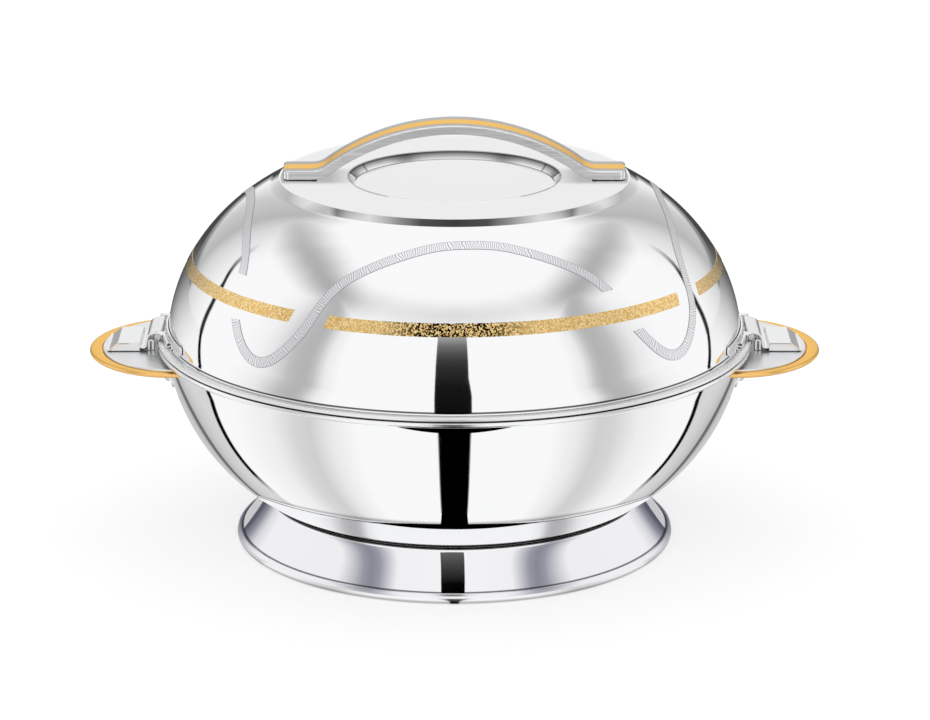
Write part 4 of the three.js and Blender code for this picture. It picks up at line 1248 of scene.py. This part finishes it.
# What the polished metal sees of the floor: white, with soft grey to the sides, a thin dark joint and a painted
# contact shadow round the foot
def floorSeen(tree):
    look = floorGreys
    east, north, up = objectAxes(tree)
    aside, ahead = abs(east), north * -1.0
    reach = lengthOf(aside, ahead)
    start, gain = look["slit"]
    narrow, near, far = look["widening"]
    limit = (ahead * gain + start) * remap(reach, narrow, 1.0, near, far)
    slit = growth(aside / atLeast(ahead, 0.001) - limit, -look["slitSoft"], look["slitSoft"])
    away = studio["slitCard"]["away"]
    slit = atLeast(slit, growth(ahead, away, away + 0.01))
    turned = turnOf(aside, ahead)
    turn = turnOf(aside, ahead - look["eye"]) / 180.0
    front = [stop for stop in studio["around"] if stop[0] < 118] + [(180, 1.0)]
    level = rampOf(turned, front, 180.0)
    band = remap(growth(reach, *look["bandEnd"]), rampOf(turn, look["band"]), level)
    bend, nearSlope, farSlope, start = look["joint"]
    joint = atLeast((aside - bend) * nearSlope, (aside - bend) * farSlope) + start
    beyond = (ahead + joint) / aside
    distance = growth(reach, *look["far"])
    gain, first = look["sideTurn"]
    offSide = growth(turned - (reach * gain + first), -look["sideHalf"], look["sideHalf"])
    side = remap(distance, rampOf(offSide, look["side"]), look["sideEnd"])
    step = remap(beyond, side, 1.0, -look["step"], look["step"])
    line = remap(growth(reach, *look["lineStart"]), 1.0, growth(abs(beyond), *look["line"]))
    dark = remap(distance, 1.0, rampOf(turned / 180.0, look["distant"]))
    shade = firstOnly(tree, slit * band * step * line, rampOf(turn, look["later"]))
    # Painted contact shadow: darker close round the foot
    low, near, far = look["contactShadow"]
    return shade * dark * remap(reach, low, 1.0, near, far)


def makeFloor():
    paper, tree, surface = plainMaterial("studioPaper")
    matt = signalOf(tree, "BsdfDiffuse", {0: (*[studio["floorColour"]] * 3, 1)})
    glow = signalOf(tree, "Emission", {"Strength": rayOf(tree, "Is Camera Ray") * studio["glow"]})
    both = signalOf(tree, "AddShader", {0: matt, 1: glow})
    mirrored = signalOf(tree, "Emission", {"Strength": floorSeen(tree)})
    feed(surface, signalOf(tree, "MixShader", {0: rayOf(tree, "Is Glossy Ray"), 1: both, 2: mirrored}))
    size = studio["floor"]
    addPlane("studioFloor", paper, lambda x, y: (x * size, y * size, 0))


# A card that only reflections show
def addCard(*values):
    card = addPlane(*values)
    for flag in ("visible_camera", "visible_diffuse", "visible_shadow", "visible_transmission"):
        setattr(card, flag, False)


# A card round the pot between two edges (radius, height, change of radius at its ends), from angle to angle
def addRingCard(name, finish, edges, angles, count, facing):
    def corner(x, y):
        radius, height, change = (*edges[0 if x < 0 else 1], 0)[:3]
        angle = math.radians(angles[0] + (angles[1] - angles[0]) * (y + 1) / 2)
        reach = radius + change * y * y
        return (reach * math.sin(angle), -reach * math.cos(angle), height)

    addCard(name, finish, corner, count, facing)


# A plain card that is clear by a share, in later reflections and, when told, from behind
def makeFlag(name, clearness=None, oneSided=True, glow=None):
    finish, tree, surface = plainMaterial(name)
    light = signalOf(tree, "Emission", {"Strength": 1.0, "Color": glow(tree)} if glow else {"Strength": 0.0})
    amount = firstOnly(tree, clearness(tree) if clearness else 0.0)
    if oneSided:
        amount = atLeast(amount, signalOf(tree, "NewGeometry", output="Backfacing"))
    feed(surface, signalOf(tree, "MixShader", {0: amount, 1: light, 2: signalOf(tree, "BsdfTransparent")}))
    return finish


# The value between stops at a share
def along(stops, share):
    for (start, low), (end, high) in zip(stops, stops[1:]):
        if share <= end:
            return low + (high - low) * (share - start) / (end - start)
    return stops[-1][1]


def makeSlitCard():
    card = studio["slitCard"]
    black = makeFlag("slitFlag", lambda tree: rampOf(objectAxes(tree)[2] / card["top"], card["clear"]), False)

    def corner(x, y):
        height = (y + 1) / 2 * card["top"]
        start, end = card["bend"]
        rise = min(max((height - start) / (end - start), 0), 1)
        side = 0 if x < 0 else 1
        return (card["low"][side] * (1 - rise) + card["high"][side] * rise, -card["away"], height)

    addCard("slitCard", black, corner, 40)


# Cards close over the foot, seen from the foot only: the slit, and the greys at its sides
def makeFootCards():
    cards = studio["footCards"]
    edges = cards["edges"]
    (near, low), (far, high) = edges[:2]
    clear, clearEnd = cards["clear"]
    black = makeFlag("footFlag", lambda tree: remap(objectAxes(tree)[1], clear, 0.0, -near, -clearEnd))

    def slitCorner(x, y):
        share = (y + 1) / 2
        height = low + (high - low) * share - cards["under"]
        return (cards["shift"] + x * along(cards["halves"], share), -near - (far - near) * share, height)

    addCard("footCard", black, slitCorner, 20, (0, -0.115, 0.0))

    def level(tree):
        east, north, up = objectAxes(tree)
        turn = turnOf(abs(east), north * -1.0) - remap(lengthOf(east, north), 0.0, cards["drift"], near, far)
        greys = [(angle, (value, value, value ** cards["blue"])) for angle, value in cards["greys"]]
        return rampOf(turn, greys, 180.0)

    greys = makeFlag("footGreys", None, True, level)
    for name, sign in (("footGreysLeft", -1), ("footGreysRight", 1)):
        for inner, outer in zip(edges, edges[1:]):
            addRingCard(name, greys, (inner, outer), [sign * angle for angle in cards["span"]], 60,
                        (sign * inner[0] * 0.9, 0, 0.0))


# Pale cards just over the plateau and the recess, seen from below only, so that both stay even, with painted
# shade beside the handle's feet
def makePaleCards():
    pale = studio["paleCards"]

    # Darker beside the handle's feet: painted shade where the feet shade the plateau
    def level(tree):
        east, north, up = objectAxes(tree)
        side = handle["width"] / 2 * mm
        near = remap(abs(north), 1.0, 0.0, side, side + pale["fade"])
        return remap(near * growth(abs(east), *pale["feet"]), pale["level"], pale["shade"])

    even = makeFlag("paleFlag", None, True, level)
    for name in ("plateau", "recess"):
        inner, outer, height = pale[name]
        addRingCard(name + "Card", even, ((inner, height), (outer, height)), (-180, 180), 96,
                    (0, -(inner + outer) / 2, 0.1))


# A card of dark grains just off the gold band's front
def makeGrainCard():
    card = studio["grainCard"]

    def clearness(tree):
        grain = growth(placeGroup(tree, hammering, Dimples=card["size"])[0], *card["grain"])
        return remap(grain * rampOf(abs(objectAxes(tree)[0]), card["dark"], card["reach"]), 1.0, 0.0)

    def corner(x, y):
        half = ornament["bandHalf"]
        height = ornament["bandHeight"] + (-half if x < 0 else half + card["more"])
        return onDome(y * card["span"], height, card["lift"]) * mm

    addCard("grainCard", makeFlag("grainFlag", clearness), corner, 32, (0, 0, 0.1))


# Thin arcs of black round the front, put just under the rim and low beside the foot where there is only shade,
# so that the metal reflects painted shade there
def makeArcs():
    black = makeFlag("arcFlag")
    for name, (span, inner, outer, facing) in studio["arcs"].items():
        addRingCard(name, black, (inner, outer), (-span, span), 32, facing)
    near, far, half, height = studio["joinCard"]
    addCard("joinCard", black, lambda x, y: (x * half, -near if y < 0 else -far, height), 1, (0, -near, 1))


# Grey strips close to the lid's step and to the recess's wall, which only these show
def makeStrips():
    strip, wall = studio["stepStrip"], studio["wallStrip"]
    grey = makeFlag("stepFlag", lambda tree: rampOf(
        abs(objectAxes(tree)[0]), strip["clear"], strip["reach"]))
    addRingCard("stepStrip", grey, strip["edges"], (-strip["span"], strip["span"]), 48, (0, -0.094, 0.19))
    shade = makeFlag("wallFlag", lambda tree: rampOf(
        growth(lengthOf(*objectAxes(tree)[:2]), *wall["radii"]), wall["clear"]))
    addRingCard("wallStrip", shade, [(radius, wall["height"]) for radius in wall["radii"]],
                (180 + wall["span"], 180 - wall["span"]), 48, (0, 0.054, 0.19))


# Surroundings: white for the camera and plain for matt surfaces, with the studio's greys in reflections
def makeSurroundings():
    world = bpy.data.worlds.new("studioWorld")
    bpy.context.scene.world = world
    world.use_nodes = True
    sky = world.node_tree
    backdrop = sky.nodes["Background"].inputs
    east, north, up = axesOf(signalOf(sky, "TexCoord", output="Generated"))
    turn = turnOf(abs(east), north * -1.0)
    rise = degreesOf(calc("ARCSINE", up))
    above = atLeast((rise - 38.0) / 20.0, 0.0)
    greys = rampOf(atLeast(turn - above * above * 30.0, 0.0), studio["around"], 180.0)
    greys = remap(growth(rise, 50.0, 58.0), greys, 1.0)
    off = abs(rise - rampOf(turn, studio["archHeight"], 180.0, 90.0)) / studio["archHalf"]
    arch = remap(off, 1.0, 0.0, interpolation_type="SMOOTHSTEP") * rampOf(turn, studio["archDepth"], 180.0)
    greys = calc("MINIMUM", greys, 1.0 - arch)
    offLine = abs(turn - rampOf(rise, studio["line"], 90.0, 180.0))
    line = remap(offLine, 0.02, 1.0, studio["lineHalf"] - 0.5, studio["lineHalf"] + 0.5)
    greys = greys * firstOnly(sky, remap(growth(rise, 20.0, 32.0), line, 1.0))
    greys = greys * atLeast(remap(turn, 1.0, 0.0, 143.0, 149.0), remap(rise, 0.35, 1.0, 0.5, 3.5))
    plain = remap(rayOf(sky, "Is Camera Ray"), studio["world"], 1.0)
    feed(backdrop["Strength"], remap(rayOf(sky, "Is Glossy Ray"), plain, greys))
    feed(backdrop["Color"], (1, 1, 1, 1))


makeFloor()
makeSlitCard()
makeFootCards()
makePaleCards()
makeGrainCard()
makeArcs()
makeStrips()
makeSurroundings()

bpy.context.scene.view_settings.view_transform = "Standard"
print("studio made")

bpy.context.view_layer.update()
